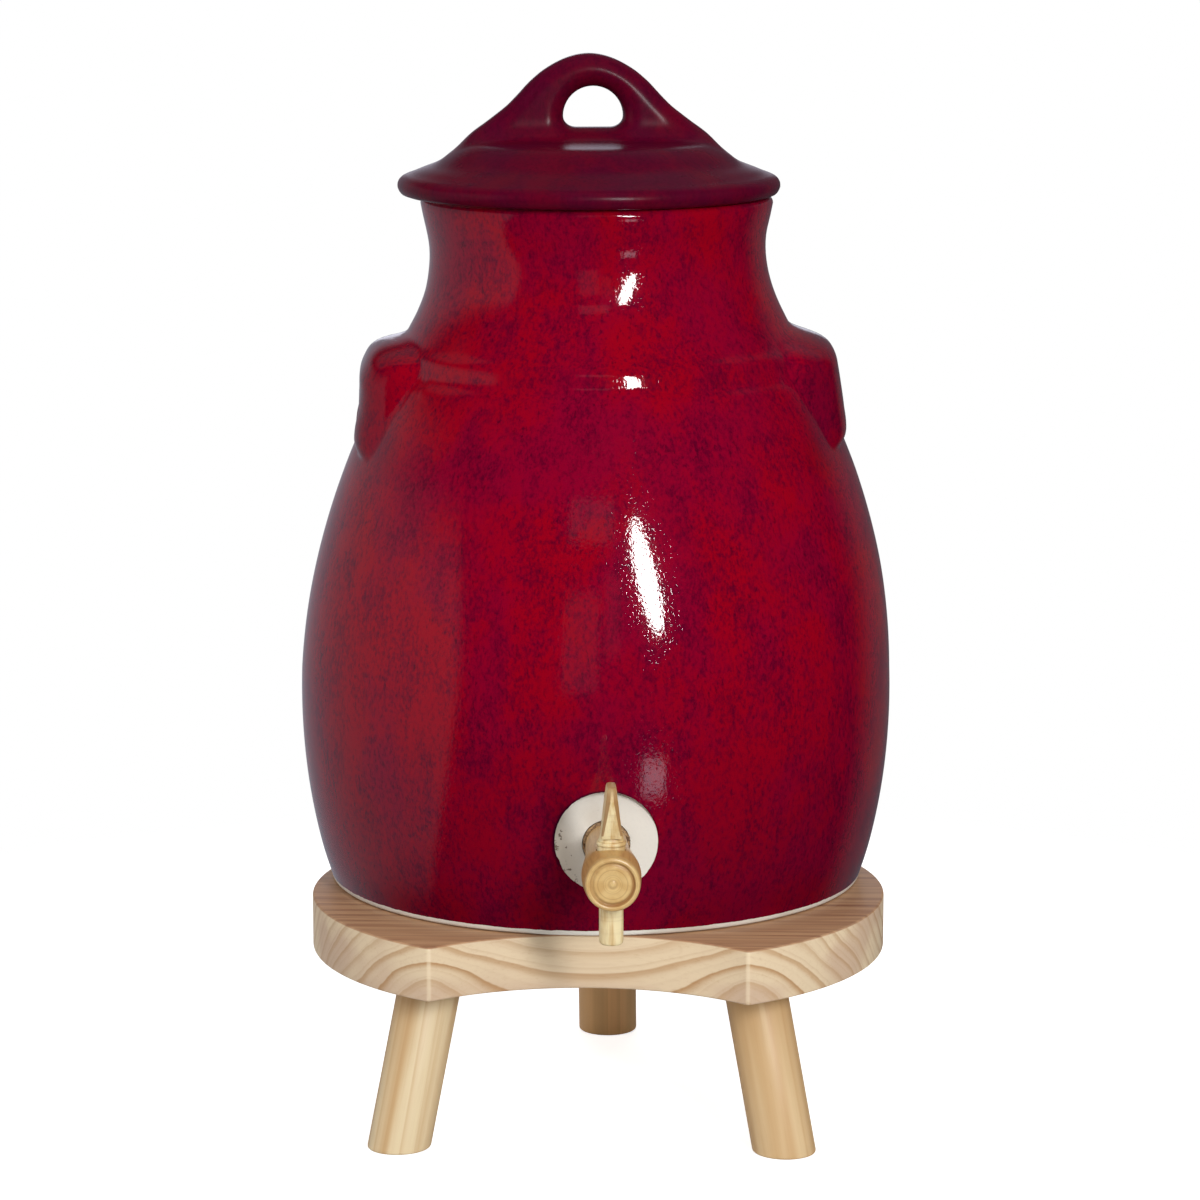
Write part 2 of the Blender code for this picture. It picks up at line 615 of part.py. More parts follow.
def make_stand(parent):
    """The seat with its three blind sockets, and the three round legs."""
    underside = SEAT_HEIGHT - SEAT_THICKNESS
    seat = plate("stand_seat", [seat_outline()], SEAT_THICKNESS, SEAT_EASING, parts, pine)
    place(seat, parent, (0, 0, underside + SEAT_THICKNESS / 2))
    socket_top = (SEAT_HEIGHT - SOCKET_ROOF - LEG_RADIUS * math.sin(LEG_SPLAY)) / math.cos(LEG_SPLAY)
    legs = {"front_left": -LEG_FRONT_ANGLE, "front_right": LEG_FRONT_ANGLE, "back": math.pi}
    for name, angle in legs.items():
        foot = (LEG_CIRCLE * math.sin(angle), -LEG_CIRCLE * math.cos(angle), 0)
        socket = cone(f"socket_{name}", LEG_RADIUS + CLEARANCE, LEG_RADIUS + CLEARANCE, 0, socket_top,
                      LEG_SIDES, helpers)
        place(socket, parent, foot, leg_rotation(angle))
        combine(seat, socket, "DIFFERENCE")
        make_leg(name, socket_top - CLEARANCE, foot, leg_rotation(angle), parent)
    return seat


def make_leg(name, top, foot, rotation, parent):
    """A splayed dowel leg, cut level at the floor."""
    bm = bmesh.new()
    low = -LEG_RADIUS
    bmesh.ops.create_cone(bm, cap_ends=True, segments=LEG_SIDES, radius1=LEG_RADIUS, radius2=LEG_RADIUS,
                          depth=top - low, matrix=Matrix.Translation((0, 0, (top + low) / 2)))
    floor = rotation.to_matrix().inverted() @ Vector((0, 0, 1))
    cut = bmesh.ops.bisect_plane(bm, geom=[*bm.verts, *bm.edges, *bm.faces], plane_co=(0, 0, 0),
                                 plane_no=floor, clear_inner=True)
    edges = [item for item in cut["geom_cut"] if isinstance(item, bmesh.types.BMEdge)]
    bmesh.ops.contextual_create(bm, geom=edges)
    bmesh.ops.recalc_face_normals(bm, faces=bm.faces)
    leg = from_bmesh(f"leg_{name}", bm, parts, leg_pine)
    ease_edges(leg, LEG_EASING)
    return place(leg, parent, foot, rotation)


clear_scene()
parts = new_collection("vinegar_crock")
helpers = new_collection("cutters")
helpers.hide_render = True
guides = new_collection("frames")
glaze = new_material("crock_glaze", (0.30, 0.004, 0.022), 0.10)
lid_glaze = new_material("lid_glaze", (0.14, 0.006, 0.018), 0.22)
boxwood = new_material("boxwood", (0.72, 0.52, 0.26), 0.42)
cork_material = new_material("cork", (0.36, 0.21, 0.11), 0.85)
pine = new_material("pine_seat", (0.76, 0.57, 0.38), 0.50)
leg_pine = new_material("pine_leg", (0.74, 0.53, 0.31), 0.45)

crock_y = (boss_reach() + BARREL_LENGTH - BELLY_RADIUS) / 2
crock_frame = new_frame("crock_frame", None, (0, crock_y, CROCK_Z))
make_crock(crock_frame)
tap_frame = new_frame("tap_frame", crock_frame, (0, -boss_reach(), TAP_HEIGHT))
make_cork(tap_frame)
make_barrel(tap_frame)
make_key(new_frame("key_axis", tap_frame, (0, -KEY_FORWARD, 0)))
make_lid(new_frame("lid_axis", crock_frame, (-LID_ASIDE, 0, CROCK_HEIGHT + CLEARANCE)))
stand_frame = new_frame("stand_frame", None, (0, crock_y - STAND_FORWARD, 0), (0, 0, STAND_TURN))
make_stand(stand_frame)
bpy.context.view_layer.update()
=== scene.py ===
"""Stoneware vinegar crock with its lid and wooden tap on a pine stand, dressed for rendering.

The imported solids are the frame. Every piece here is a finer mesh in the place of one of them, in
metres, +Z up, with the tap along -Y.
"""

import json
import logging
import math
from dataclasses import dataclass, field, replace
from enum import Enum
from typing import Callable, Optional, Sequence, Union

import bmesh
import bpy
import numpy as np
from mathutils import Matrix, Quaternion, Vector


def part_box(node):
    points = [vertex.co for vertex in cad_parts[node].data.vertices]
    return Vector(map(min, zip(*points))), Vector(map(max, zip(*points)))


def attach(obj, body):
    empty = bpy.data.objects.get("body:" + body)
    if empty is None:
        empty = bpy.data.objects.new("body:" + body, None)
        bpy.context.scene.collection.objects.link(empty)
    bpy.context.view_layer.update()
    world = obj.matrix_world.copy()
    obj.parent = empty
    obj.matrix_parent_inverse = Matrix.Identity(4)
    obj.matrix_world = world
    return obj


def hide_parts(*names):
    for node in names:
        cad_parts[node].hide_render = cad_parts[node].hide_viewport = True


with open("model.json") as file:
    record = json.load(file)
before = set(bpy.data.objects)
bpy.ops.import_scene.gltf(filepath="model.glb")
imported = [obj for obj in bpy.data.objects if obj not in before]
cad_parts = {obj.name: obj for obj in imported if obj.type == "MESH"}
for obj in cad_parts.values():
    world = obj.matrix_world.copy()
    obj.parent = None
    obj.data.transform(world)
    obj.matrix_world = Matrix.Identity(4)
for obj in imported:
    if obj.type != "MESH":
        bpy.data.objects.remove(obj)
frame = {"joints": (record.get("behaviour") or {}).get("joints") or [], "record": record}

LOG = logging.getLogger("vinegar_crock")
MM = 0.001
WELD = 0.001 * MM
OWN_PLACE = "own_place"  # the mesh attribute with each point's place before the piece was put in its frame
SMOOTH_ANGLE = math.radians(38)
CLEARANCE = 0.3 * MM
DOWN_FORWARD = Matrix.Rotation(math.radians(90), 4, "X")  # turns +Z to -Y

Colour = tuple[float, float, float]
Point2 = tuple[float, float]
Setting = Union[str, float, int, bool, Sequence]


def band(at: float, offsets: Point2) -> Point2:
    """Two limits, at their offsets from a value."""
    return at + offsets[0], at + offsets[1]


class Body(Enum):
    """The bodies that move apart."""

    STAND = "stand"
    CROCK = "crock"
    LID = "lid"
    KEY = "tap_key"


class Slot(Enum):
    """The record's material slots."""

    CROCK_GLAZE = "crock_glaze"
    LID_GLAZE = "lid_glaze"
    BOXWOOD = "boxwood"
    CORK = "cork"
    SEAT = "pine_seat"
    LEG = "pine_leg"


class LegPlace(Enum):
    """Where a leg stands, as its node and its mount name it."""

    FRONT_LEFT = "front_left"
    FRONT_RIGHT = "front_right"
    BACK = "back"


class Cut(Enum):
    """The ways two solids are combined."""

    UNION = "UNION"
    DIFFERENCE = "DIFFERENCE"


class Wire:
    """One output socket of a node. Arithmetic on it adds Math or Vector Math nodes."""

    def __init__(self, shader: "Shader", socket: bpy.types.NodeSocket) -> None:
        """Wraps an output socket of a shader's tree."""
        self.shader = shader
        self.socket = socket

    def combine(self, operation: str, first: "Number", second: "Number") -> "Wire":
        """Adds a Math node, or a Vector Math node where this socket holds a vector."""
        kind = "ShaderNodeMath" if self.socket.type == "VALUE" else "ShaderNodeVectorMath"
        return self.shader.node(kind, {"operation": operation}, {0: first, 1: second})

    def __add__(self, other: "Number") -> "Wire":
        """Adds a value."""
        return self.combine("ADD", self, other)

    def __radd__(self, other: "Number") -> "Wire":
        """Is added to a value."""
        return self.combine("ADD", other, self)

    def __sub__(self, other: "Number") -> "Wire":
        """Takes a value away."""
        return self.combine("SUBTRACT", self, other)

    def __rsub__(self, other: "Number") -> "Wire":
        """Is taken from a value."""
        return self.combine("SUBTRACT", other, self)

    def __mul__(self, other: "Number") -> "Wire":
        """Multiplies by a value."""
        return self.combine("MULTIPLY", self, other)

    def __rmul__(self, other: "Number") -> "Wire":
        """Multiplies a value."""
        return self.combine("MULTIPLY", other, self)

    def __truediv__(self, other: "Number") -> "Wire":
        """Divides by a value."""
        return self.combine("DIVIDE", self, other)

    def apply(self, operation: str) -> "Wire":
        """This value put through a Math node that takes one value."""
        return self.shader.node("ShaderNodeMath", {"operation": operation}, {0: self})

    def hypotenuse(self, other: "Wire") -> "Wire":
        """The length of a flat vector that has this value and another as its sides."""
        return (self * self + other * other).apply("SQRT")

    def larger(self, other: "Number") -> "Wire":
        """The larger of this value and another."""
        return self.combine("MAXIMUM", self, other)

    def smooth(self, low: float, high: float) -> "Wire":
        """Rises smoothly from 0 at the low value to 1 at the high one."""
        sockets = {"Value": self, "From Min": low, "From Max": high}
        return self.shader.node("ShaderNodeMapRange", {"interpolation_type": "SMOOTHSTEP"}, sockets)

    def output(self, name: str) -> "Wire":
        """Another output of the same node."""
        return Wire(self.shader, self.socket.node.outputs[name])


Number = Union[Wire, float, int, tuple]
Mask = Callable[["Shader", Wire], Wire]


class Shader:
    """A node tree that is written as expressions."""

    def __init__(self, tree: bpy.types.NodeTree) -> None:
        """Starts from an emptied node tree."""
        self.tree = tree
        tree.nodes.clear()

    @classmethod
    def of_material(cls, name: str) -> tuple[bpy.types.Material, "Shader"]:
        """Makes a material with an empty tree.

        Args:
            name: The material's name.

        Returns:
            The material and its tree.
        """
        material = bpy.data.materials.new(name)
        material.use_nodes = True
        return material, cls(material.node_tree)

    def node(self, kind: str, settings: Optional[dict[str, Setting]] = None,
             sockets: Optional[dict[Union[str, int], Number]] = None,
             output: Union[str, int] = 0) -> Wire:
        """Adds a node.

        Args:
            kind: The node's type.
            settings: Its properties, or a ramp's stops, which are set first.
            sockets: Values or wires for its inputs.
            output: The output that is returned.

        Returns:
            That output.
        """
        made = self.tree.nodes.new(kind)
        for key, value in (settings or {}).items():
            if key == "stops":
                self._set_stops(made.color_ramp, value)
            else:
                setattr(made, key, value)
        for key, value in (sockets or {}).items():
            target = made.inputs[key]
            if isinstance(value, Wire):
                self.tree.links.new(value.socket, target)
            elif target.type == "RGBA" and len(value) == 3:
                target.default_value = (*value, 1)
            elif target.type == "VECTOR" and isinstance(value, (int, float)):
                target.default_value = (value, value, value)
            else:
                target.default_value = value
        return Wire(self, made.outputs[output])

    @staticmethod
    def _set_stops(ramp: bpy.types.ColorRamp, stops: Sequence[tuple[float, Colour]]) -> None:
        """Gives a ramp its stops.

        Args:
            ramp: The ramp, which starts with two.
            stops: Positions and colours, low to high.
        """
        for _ in stops[2:]:
            ramp.elements.new(1)
        for element, (position, colour) in zip(ramp.elements, stops):
            element.position = position
            element.color = (*colour, 1)

    def place(self) -> Wire:
        """The surface point in the frame that the piece was made in."""
        return self.node("ShaderNodeAttribute", {"attribute_name": OWN_PLACE}, output="Vector")

    def parts_of(self, vector: Wire) -> tuple[Wire, Wire, Wire]:
        """A vector's X, Y and Z."""
        x = self.node("ShaderNodeSeparateXYZ", {}, {0: vector}, "X")
        return x, x.output("Y"), x.output("Z")

    def vector(self, x: Number, y: Number, z: Number) -> Wire:
        """A vector of three values."""
        return self.node("ShaderNodeCombineXYZ", {}, {0: x, 1: y, 2: z})

    def noise(self, place: Wire, size: float, detail: float = 2.0, roughness: float = 0.5,
              warp: float = 0.0) -> Wire:
        """Soft noise from 0 to 1.

        Args:
            place: Where it is read.
            size: The size of its largest patches, in metres.
            detail: How many finer layers it has.
            roughness: How strong the finer layers are.
            warp: How far it is distorted.

        Returns:
            The noise.
        """
        sockets = {"Vector": place, "Scale": 1 / size, "Detail": detail, "Roughness": roughness,
                   "Distortion": warp}
        return self.node("ShaderNodeTexNoise", {}, sockets)

    def mix(self, first: Number, second: Number, share: Number) -> Wire:
        """A colour at this share of the way from the first to the second."""
        return self.node("ShaderNodeMix", {"data_type": "RGBA"}, {0: share, 6: first, 7: second}, 2)

    def tint(self, colour: Number, factor: Wire) -> Wire:
        """A colour made lighter or darker by a value."""
        return self.mix((0.0, 0.0, 0.0), colour, factor)

    def bump(self, height: Wire, distance: float) -> Wire:
        """A surface normal raised by a height, in units of the distance."""
        return self.node("ShaderNodeBump", {}, {"Height": height, "Distance": distance})

    def surface(self, sockets: dict[str, Number]) -> Wire:
        """A Principled surface with these inputs."""
        return self.node("ShaderNodeBsdfPrincipled", {}, sockets)

    def finish(self, surface: Wire, kind: str = "ShaderNodeOutputMaterial") -> None:
        """Ends the tree in its output node."""
        end = self.tree.nodes.new(kind)
        self.tree.links.new(surface.socket, end.inputs["Surface"])


@dataclass(frozen=True)
class Glaze:
    """Mottled red stoneware glaze, with dark specks and a fine orange-peel skin."""

    name: str
    red: Colour = (0.292, 0.0003, 0.0095)
    crimson: Colour = (0.232, 0.0005, 0.0200)
    deep: Colour = (0.070, 0.0003, 0.0145)
    speck: Colour = (0.040, 0.0008, 0.0110)
    # Dark glaze where it has run together, also used as painted shade low on the pot and on its ears
    thick_and_shade: Colour = (0.030, 0.0010, 0.0120)
    roughness: float = 0.055
    ior: float = 1.45
    mottle: float = 0.78
    specks: float = 0.6
    patch_size: float = 34 * MM
    cloud_size: float = 12 * MM
    mottle_size: float = 1.55 * MM
    speck_size: float = 0.8 * MM
    peel_size: float = 1.15 * MM
    peel_height: float = 0.026 * MM
    pit_size: float = 1.0 * MM
    pit_depth: float = 0.012 * MM
    wave_size: float = 24 * MM
    wave_height: float = 0.04 * MM

    def layer(self, shader: Shader, place: Wire, pooled_and_shade: Number = 0.0) -> Wire:
        """Adds the glaze's nodes.

        Args:
            shader: The tree.
            place: The surface point in the piece's own frame.
            pooled_and_shade: Where the glaze is darker, from 0 to 1: where it has run together, and where
                shade is painted.

        Returns:
            The glazed surface.
        """
        patch = shader.noise(place * (1.0, 1.0, 0.8), self.patch_size, 3, 0.5, 0.3)
        cloud = shader.noise(place * (1.0, 1.0, 0.6), self.cloud_size, 4, 0.62)
        mottle = shader.noise(place * (1.0, 1.0, 0.62), self.mottle_size, 4, 0.66)
        fine = shader.noise(place * (1.0, 1.0, 0.65) + 8.2, self.speck_size, 3, 0.6)
        hue = (patch * 0.60 + cloud * 0.25 + mottle * 0.15).smooth(0.40, 0.60)
        colour = shader.mix(self.red, self.crimson, hue)
        shade = (cloud * 0.30 + mottle * 0.45 + fine * 0.25).smooth(0.44, 0.64)
        colour = shader.mix(colour, self.deep, shade * self.mottle)
        flecks = shader.noise(place * (1.0, 1.0, 0.5) + 3.7, self.speck_size * 1.8, 3, 0.6)
        where = shader.noise(place + 1.3, self.cloud_size * 2, 2, 0.5).smooth(0.30, 0.65)
        mask = flecks.smooth(0.56, 0.70) * (where * 0.65 + 0.35) * self.specks
        colour = shader.mix(colour, self.speck, mask)
        # Darker where the glaze has run together, and painted shade where the pot gets less light
        colour = shader.mix(colour, self.thick_and_shade, pooled_and_shade)
        peel = shader.noise(place * (1.0, 1.0, 0.8), self.peel_size, 1.0, 0.4)
        pit = shader.noise(place + 9.1, self.pit_size, 1.0, 0.5).smooth(0.58, 0.74)
        wave = shader.noise(place * (0.6, 0.6, 1.0), self.wave_size, 1, 0.5)
        height = peel * self.peel_height + wave * self.wave_height - pit * self.pit_depth
        return shader.surface({"Base Color": colour, "Roughness": self.roughness, "IOR": self.ior,
                               "Normal": shader.bump(height * (1 / MM), MM)})


@dataclass(frozen=True)
class BareStoneware:
    """Unglazed cream stoneware with iron specks and thrown texture."""

    light: Colour = (0.74, 0.70, 0.63)
    grey: Colour = (0.56, 0.49, 0.40)
    iron: Colour = (0.15, 0.10, 0.065)
    speck_size: float = 2.6 * MM
    grain_size: float = 0.9 * MM
    grain_depth: float = 0.05 * MM
    stain_size: float = 22 * MM
    roughness: float = 0.78

    def layer(self, shader: Shader, place: Wire, stained: Number = 0.0) -> Wire:
        """Adds the bare clay's nodes.

        Args:
            shader: The tree.
            place: The surface point in the piece's own frame.
            stained: Where it is grey and speckled, from 0 to 1.

        Returns:
            The bare surface.
        """
        stain = shader.noise(place + 0.9, self.stain_size, 3, 0.5)
        grain = shader.noise(place, self.grain_size, 3, 0.6)
        colour = shader.mix(self.light, self.grey, (stain.smooth(0.50, 0.80) * 0.6).larger(stained))
        colour = shader.tint(colour, grain * 0.16 + 0.92)
        dust = shader.noise(place + 5.1, self.speck_size, 3, 0.6)
        iron = (dust + stained * 0.17).smooth(0.70, 0.78)
        colour = shader.mix(colour, self.iron, iron * 0.9)
        return shader.surface({"Base Color": colour, "Roughness": self.roughness,
                               "Normal": shader.bump(grain, self.grain_depth)})


@dataclass(frozen=True)
class GlazedPot:
    """A glaze over stoneware that stays bare where a mask says."""

    glaze: Glaze
    bare: BareStoneware = field(default_factory=BareStoneware)

    def make(self, bare_where: Mask, pooled_and_shaded_where: Optional[Mask] = None,
             stained_where: Optional[Mask] = None) -> bpy.types.Material:
        """Makes the material.

        Args:
            bare_where: Gives 1 where the clay is bare and 0 where it is glazed.
            pooled_and_shaded_where: Gives 1 where the glaze is darker: where it has run together, and where
                shade is painted.
            stained_where: Gives 1 where the bare clay is grey and speckled.

        Returns:
            The material.
        """
        material, shader = Shader.of_material(self.glaze.name)
        place = shader.place()
        mask = bare_where(shader, place)
        pooled_and_shade = pooled_and_shaded_where(shader, place) if pooled_and_shaded_where else 0.0
        stained = stained_where(shader, place) if stained_where else 0.0
        glazed = self.glaze.layer(shader, place, pooled_and_shade)
        layers = {0: mask, 1: glazed, 2: self.bare.layer(shader, place, stained)}
        shader.finish(shader.node("ShaderNodeMixShader", {}, layers))
        return material


@dataclass(frozen=True)
class Boxwood:
    """Pale close-grained wood, turned, with wax on it. Its grain runs along the piece's Z axis."""

    name: str
    pale: Colour = (0.74, 0.55, 0.28)
    honey: Colour = (0.62, 0.40, 0.16)
    brown: Colour = (0.33, 0.155, 0.050)
    end_height: float = 1.0  # above this the key's slanted and upward faces are browner, from wax and painted shade, and a barrel shows its front
    end_blur: float = 0.3 * MM
    grain_size: float = 3.2 * MM
    ring_size: float = 0.9 * MM
    ring_depth: float = 0.05 * MM
    front_ring_depth: float = 0.06 * MM
    groove_width: float = 0.8 * MM
    front_edge: Point2 = (-0.9 * MM, 0.1 * MM)  # where the front darkens, from its radius
    waxed_and_shaded: float = 0.85  # how brown slanted and upward faces are, from wax and painted shade
    ior: float = 1.46

    def make(self) -> bpy.types.Material:
        """Makes the finish of the key.

        Returns:
            The material.
        """
        material, shader = Shader.of_material(self.name)
        place = shader.place()
        x, y, z = shader.parts_of(place)
        radius = x.hypotenuse(y)
        grain = shader.noise(place * (1.0, 1.0, 0.10), self.grain_size, 4, 0.6, 0.3)
        fine = shader.noise(place * (1.0, 1.0, 0.05), self.grain_size * 0.18, 2, 0.6)
        turned_marks = shader.noise(shader.vector(radius, z * 0.5, 0.0), self.ring_size, 2, 0.7)
        colour = shader.mix(self.pale, self.honey, grain.smooth(0.36, 0.68))
        colour = shader.mix(colour, self.brown, fine.smooth(0.55, 0.80) * 0.22)
        nx, ny, nz = shader.parts_of(shader.node("ShaderNodeTexCoord", output="Normal"))
        # The paddle's slanted faces and its upward tip are browner: wax, and painted shade
        slanted = (nx * ny * nx * ny * 4).smooth(0.25, 0.75)
        flat = 1 - (nz * nz).smooth(0.1, 0.5)
        on_paddle = z.smooth(self.end_height, self.end_height + self.end_blur)
        colour = shader.mix(colour, self.brown, slanted * flat * on_paddle * self.waxed_and_shaded)
        tip = (nz * nz).smooth(0.05, 0.35) * on_paddle
        colour = shader.mix(colour, self.brown, tip * self.waxed_and_shaded * 0.8)
        colour = shader.mix(colour, self.brown, turned_marks.smooth(0.50, 0.78) * 0.20)
        height = turned_marks * 0.7 + fine * 0.3
        shader.finish(shader.surface({"Base Color": colour, "Roughness": grain * 0.12 + 0.34,
                                      "IOR": self.ior, "Normal": shader.bump(height, self.ring_depth)}))
        return material

    def make_turned_end(self, groove_radius: float, front_radius: float) -> bpy.types.Material:
        """Makes the finish of the barrel, with the turning tool's rings on its front and painted shade in
        its groove.

        Args:
            groove_radius: The radius of the groove in its front.
            front_radius: The radius of its front.

        Returns:
            The material.
        """
        material, shader = Shader.of_material(self.name)
        place = shader.place()
        x, y, z = shader.parts_of(place)
        radius = x.hypotenuse(y)
        grain = shader.noise(place * (1.0, 1.0, 0.12), self.grain_size * 1.6, 3, 0.5, 0.3)
        along = shader.noise(place * (1.0, 1.0, 0.08), self.grain_size * 0.3, 3, 0.6)
        marks = shader.noise(shader.vector(radius, 0.0, 0.0), self.ring_size, 3, 0.7)
        front = z.smooth(self.end_height, self.end_height + self.end_blur)
        colour = shader.mix(self.pale, self.honey, grain.smooth(0.34, 0.66) * 0.7)
        # The side is browner than the front: its long grain, and painted shade
        side = shader.mix(self.honey, self.brown, along.smooth(0.38, 0.72) * 0.55)
        colour = shader.mix(side, colour, front)
        dark = marks.smooth(0.44, 0.66) * 0.45
        beside = radius - groove_radius
        groove = 1 - (beside * beside).smooth(0.0, self.groove_width ** 2)
        edge = radius.smooth(*band(front_radius, self.front_edge))
        # Painted shade in the groove, deepest on its lower right
        lower = (x * 0.8 - y * 0.6) * (1 / groove_radius)
        groove_shade = groove * (lower.smooth(-0.9, 0.9) * 0.55 + 0.30)
        colour = shader.mix(colour, self.brown, (dark + groove_shade + edge * 0.35) * front)
        height = shader.mix(along * 0.4, marks, front)
        normal = shader.bump(height, self.front_ring_depth)
        shader.finish(shader.surface({"Base Color": colour, "Roughness": grain * 0.12 + 0.24,
                                      "IOR": self.ior, "Normal": normal}))
        return material


@dataclass(frozen=True)
class Cork:
    """Raw cork: brown crumbs with dark pores."""

    light: Colour = (0.46, 0.29, 0.15)
    dark: Colour = (0.12, 0.060, 0.028)
    crumb_size: float = 1.6 * MM
    crumb_depth: float = 0.3 * MM
    roughness: float = 0.85

    def make(self) -> bpy.types.Material:
        """Makes the finish.

        Returns:
            The material.
        """
        material, shader = Shader.of_material("cork_raw")
        place = shader.place()
        crumb = shader.noise(place, self.crumb_size, 4, 0.7)
        pore = shader.noise(place + 2.1, self.crumb_size * 0.6, 2, 0.5)
        colour = shader.mix(self.dark, self.light, crumb.smooth(0.36, 0.58))
        colour = shader.mix(colour, self.dark, pore.smooth(0.60, 0.68) * 0.8)
        shader.finish(shader.surface({"Base Color": colour, "Roughness": self.roughness,
                                      "Normal": shader.bump(crumb + pore, self.crumb_depth)}))
        return material


@dataclass(frozen=True)
class Pine:
    """Planed pine under a satin varnish: wide cream rings that end in thin brown lines."""

    name: str
    along: tuple[float, float, float]  # how much the grain is stretched, per axis
    ring_normal: tuple[float, float, float]  # across the rings
    ring_spacing: float
    top_height: float = 1.0  # faces above this are darker and browner: painted shade, with darker wood
    cream: Colour = (0.765, 0.605, 0.405)
    late: Colour = (0.480, 0.265, 0.115)
    rose: Colour = (0.570, 0.380, 0.270)
    # The top's colours, darkened as painted shade
    top_in_shade: Colour = (0.520, 0.290, 0.150)
    top_late_in_shade: Colour = (0.250, 0.100, 0.050)
    # A painted highlight on the rounded upright edges at the corners
    corner_highlight: Colour = (0.860, 0.720, 0.500)
    flush: float = 0.6  # how much of it is heartwood
    flush_size: float = 30 * MM
    drift_size: float = 55 * MM  # the rings' wide bends, and how far they go
    drift_width: float = 20 * MM
    wobble_size: float = 12 * MM  # their narrow bends
    wobble_width: float = 2.6 * MM
    fibre_size: float = 0.9 * MM
    streak_size: float = 3.5 * MM
    lines: float = 0.95
    gloss: float = 0.46
    ior: float = 1.48
    relief: float = 0.035 * MM
    top_blur: float = 0.4 * MM
    # Where the painted highlight runs down the corners, and how far from them it fades
    highlit_corners: tuple[Point2, ...] = ()
    highlight_reach: Point2 = (0.5 * MM, 1.3 * MM)

    def make(self) -> bpy.types.Material:
        """Makes the finish.

        Returns:
            The material.
        """
        material, shader = Shader.of_material(self.name)
        place = shader.place()
        x, y, z = shader.parts_of(place)
        grain_place = place * self.along
        drift = shader.noise(grain_place, self.drift_size, 2, 0.5)
        wobble = shader.noise(grain_place, self.wobble_size, 3, 0.55)
        a, b, c = self.ring_normal
        across = x * a + y * b + z * c + drift * self.drift_width + wobble * self.wobble_width
        rings = across * (1 / self.ring_spacing)
        line = self._rings(shader, rings, 7.31)
        fine = self._rings(shader, rings * 2.37 + 0.4, 3.17)
        fibre = shader.noise(grain_place, self.fibre_size, 4, 0.7)
        streak = shader.noise(grain_place + 6.3, self.streak_size, 3, 0.6)
        flush = shader.noise(grain_place + 4.4, self.flush_size, 2, 0.5).smooth(0.42, 0.62) * self.flush
        colour = shader.mix(self.cream, self.rose, flush)
        mark = line * self.lines + fine * (self.lines * 0.22) + fibre.smooth(0.48, 0.80) * 0.22
        top_mark = mark * 0.6 + streak.smooth(0.40, 0.66) * 0.55
        shaded_top_colour = shader.mix(self.top_in_shade, self.top_late_in_shade, top_mark)
        colour = shader.mix(colour, self.late, mark)
        # Faces above the top height take the darker top colours, as painted shade
        top = z.smooth(self.top_height, self.top_height + self.top_blur)
        colour = shader.mix(colour, shaded_top_colour, top * 0.9)
        # A painted highlight down the upright edges at the corners
        for corner_x, corner_y in self.highlit_corners:
            near = 1 - (x - corner_x).hypotenuse(y - corner_y).smooth(*self.highlight_reach)
            colour = shader.mix(colour, self.corner_highlight, near * (1 - top) * 0.45)
        colour = shader.tint(colour, drift * 0.24 + 0.88)
        height = line * -0.4 + fibre * 0.6
        shader.finish(shader.surface({"Base Color": colour, "Roughness": line * -0.06 + self.gloss,
                                      "IOR": self.ior, "Normal": shader.bump(height, self.relief)}))
        return material

    @staticmethod
    def _rings(shader: Shader, rings: Wire, seed: float) -> Wire:
        """Growth rings of uneven strength, each darkening slowly and ending at once.

        Args:
            shader: The tree.
            rings: The ring number, counted through the wood.
            seed: Sets which rings are strong.

        Returns:
            The darkness of the ring.
        """
        phase = rings.apply("FRACT")
        line = phase.smooth(0.35, 0.90) * (1 - phase.smooth(0.90, 1.0))
        number = rings - phase
        scattered = (number * 12.9898 + seed).apply("SINE") * 43.5453
        return line * line * (scattered.apply("FRACT") * 0.75 + 0.25)


def add_object(name: str, data: bpy.types.ID) -> bpy.types.Object:
    """Puts an object that shows some data in the scene.

    Args:
        name: The object's name.
        data: Its mesh, curve, light or camera.

    Returns:
        The object.
    """
    made = bpy.data.objects.new(name, data)
    bpy.context.scene.collection.objects.link(made)
    return made


def mesh_piece(name: str, points: Sequence, faces: Sequence) -> bpy.types.Object:
    """Makes a mesh object in the scene.

    Args:
        name: The object's name.
        points: Its points.
        faces: Its faces, as tuples of point numbers.

    Returns:
        The object.
    """
    mesh = bpy.data.meshes.new(name)
    mesh.from_pydata([tuple(point) for point in points], [], [tuple(face) for face in faces])
    mesh.validate()
    return add_object(name, mesh)


def shade(piece: bpy.types.Object, angle: float = SMOOTH_ANGLE) -> None:
    """Shades a piece smooth, apart from edges sharper than an angle."""
    piece.data.shade_smooth()
    piece.data.set_sharp_from_angle(angle=angle)


def tidy(piece: bpy.types.Object, angle: float = SMOOTH_ANGLE) -> bpy.types.Object:
    """Welds a piece's double points, turns its faces outwards and shades it smooth.

    Args:
        piece: The piece.
        angle: Edges sharper than this stay sharp.

    Returns:
        The piece.
    """
    bm = bmesh.new()
    bm.from_mesh(piece.data)
    bmesh.ops.remove_doubles(bm, verts=bm.verts, dist=WELD)
    bmesh.ops.dissolve_degenerate(bm, edges=bm.edges, dist=WELD)
    bmesh.ops.recalc_face_normals(bm, faces=bm.faces)
    bm.to_mesh(piece.data)
    bm.free()
    shade(piece, angle)
    return piece


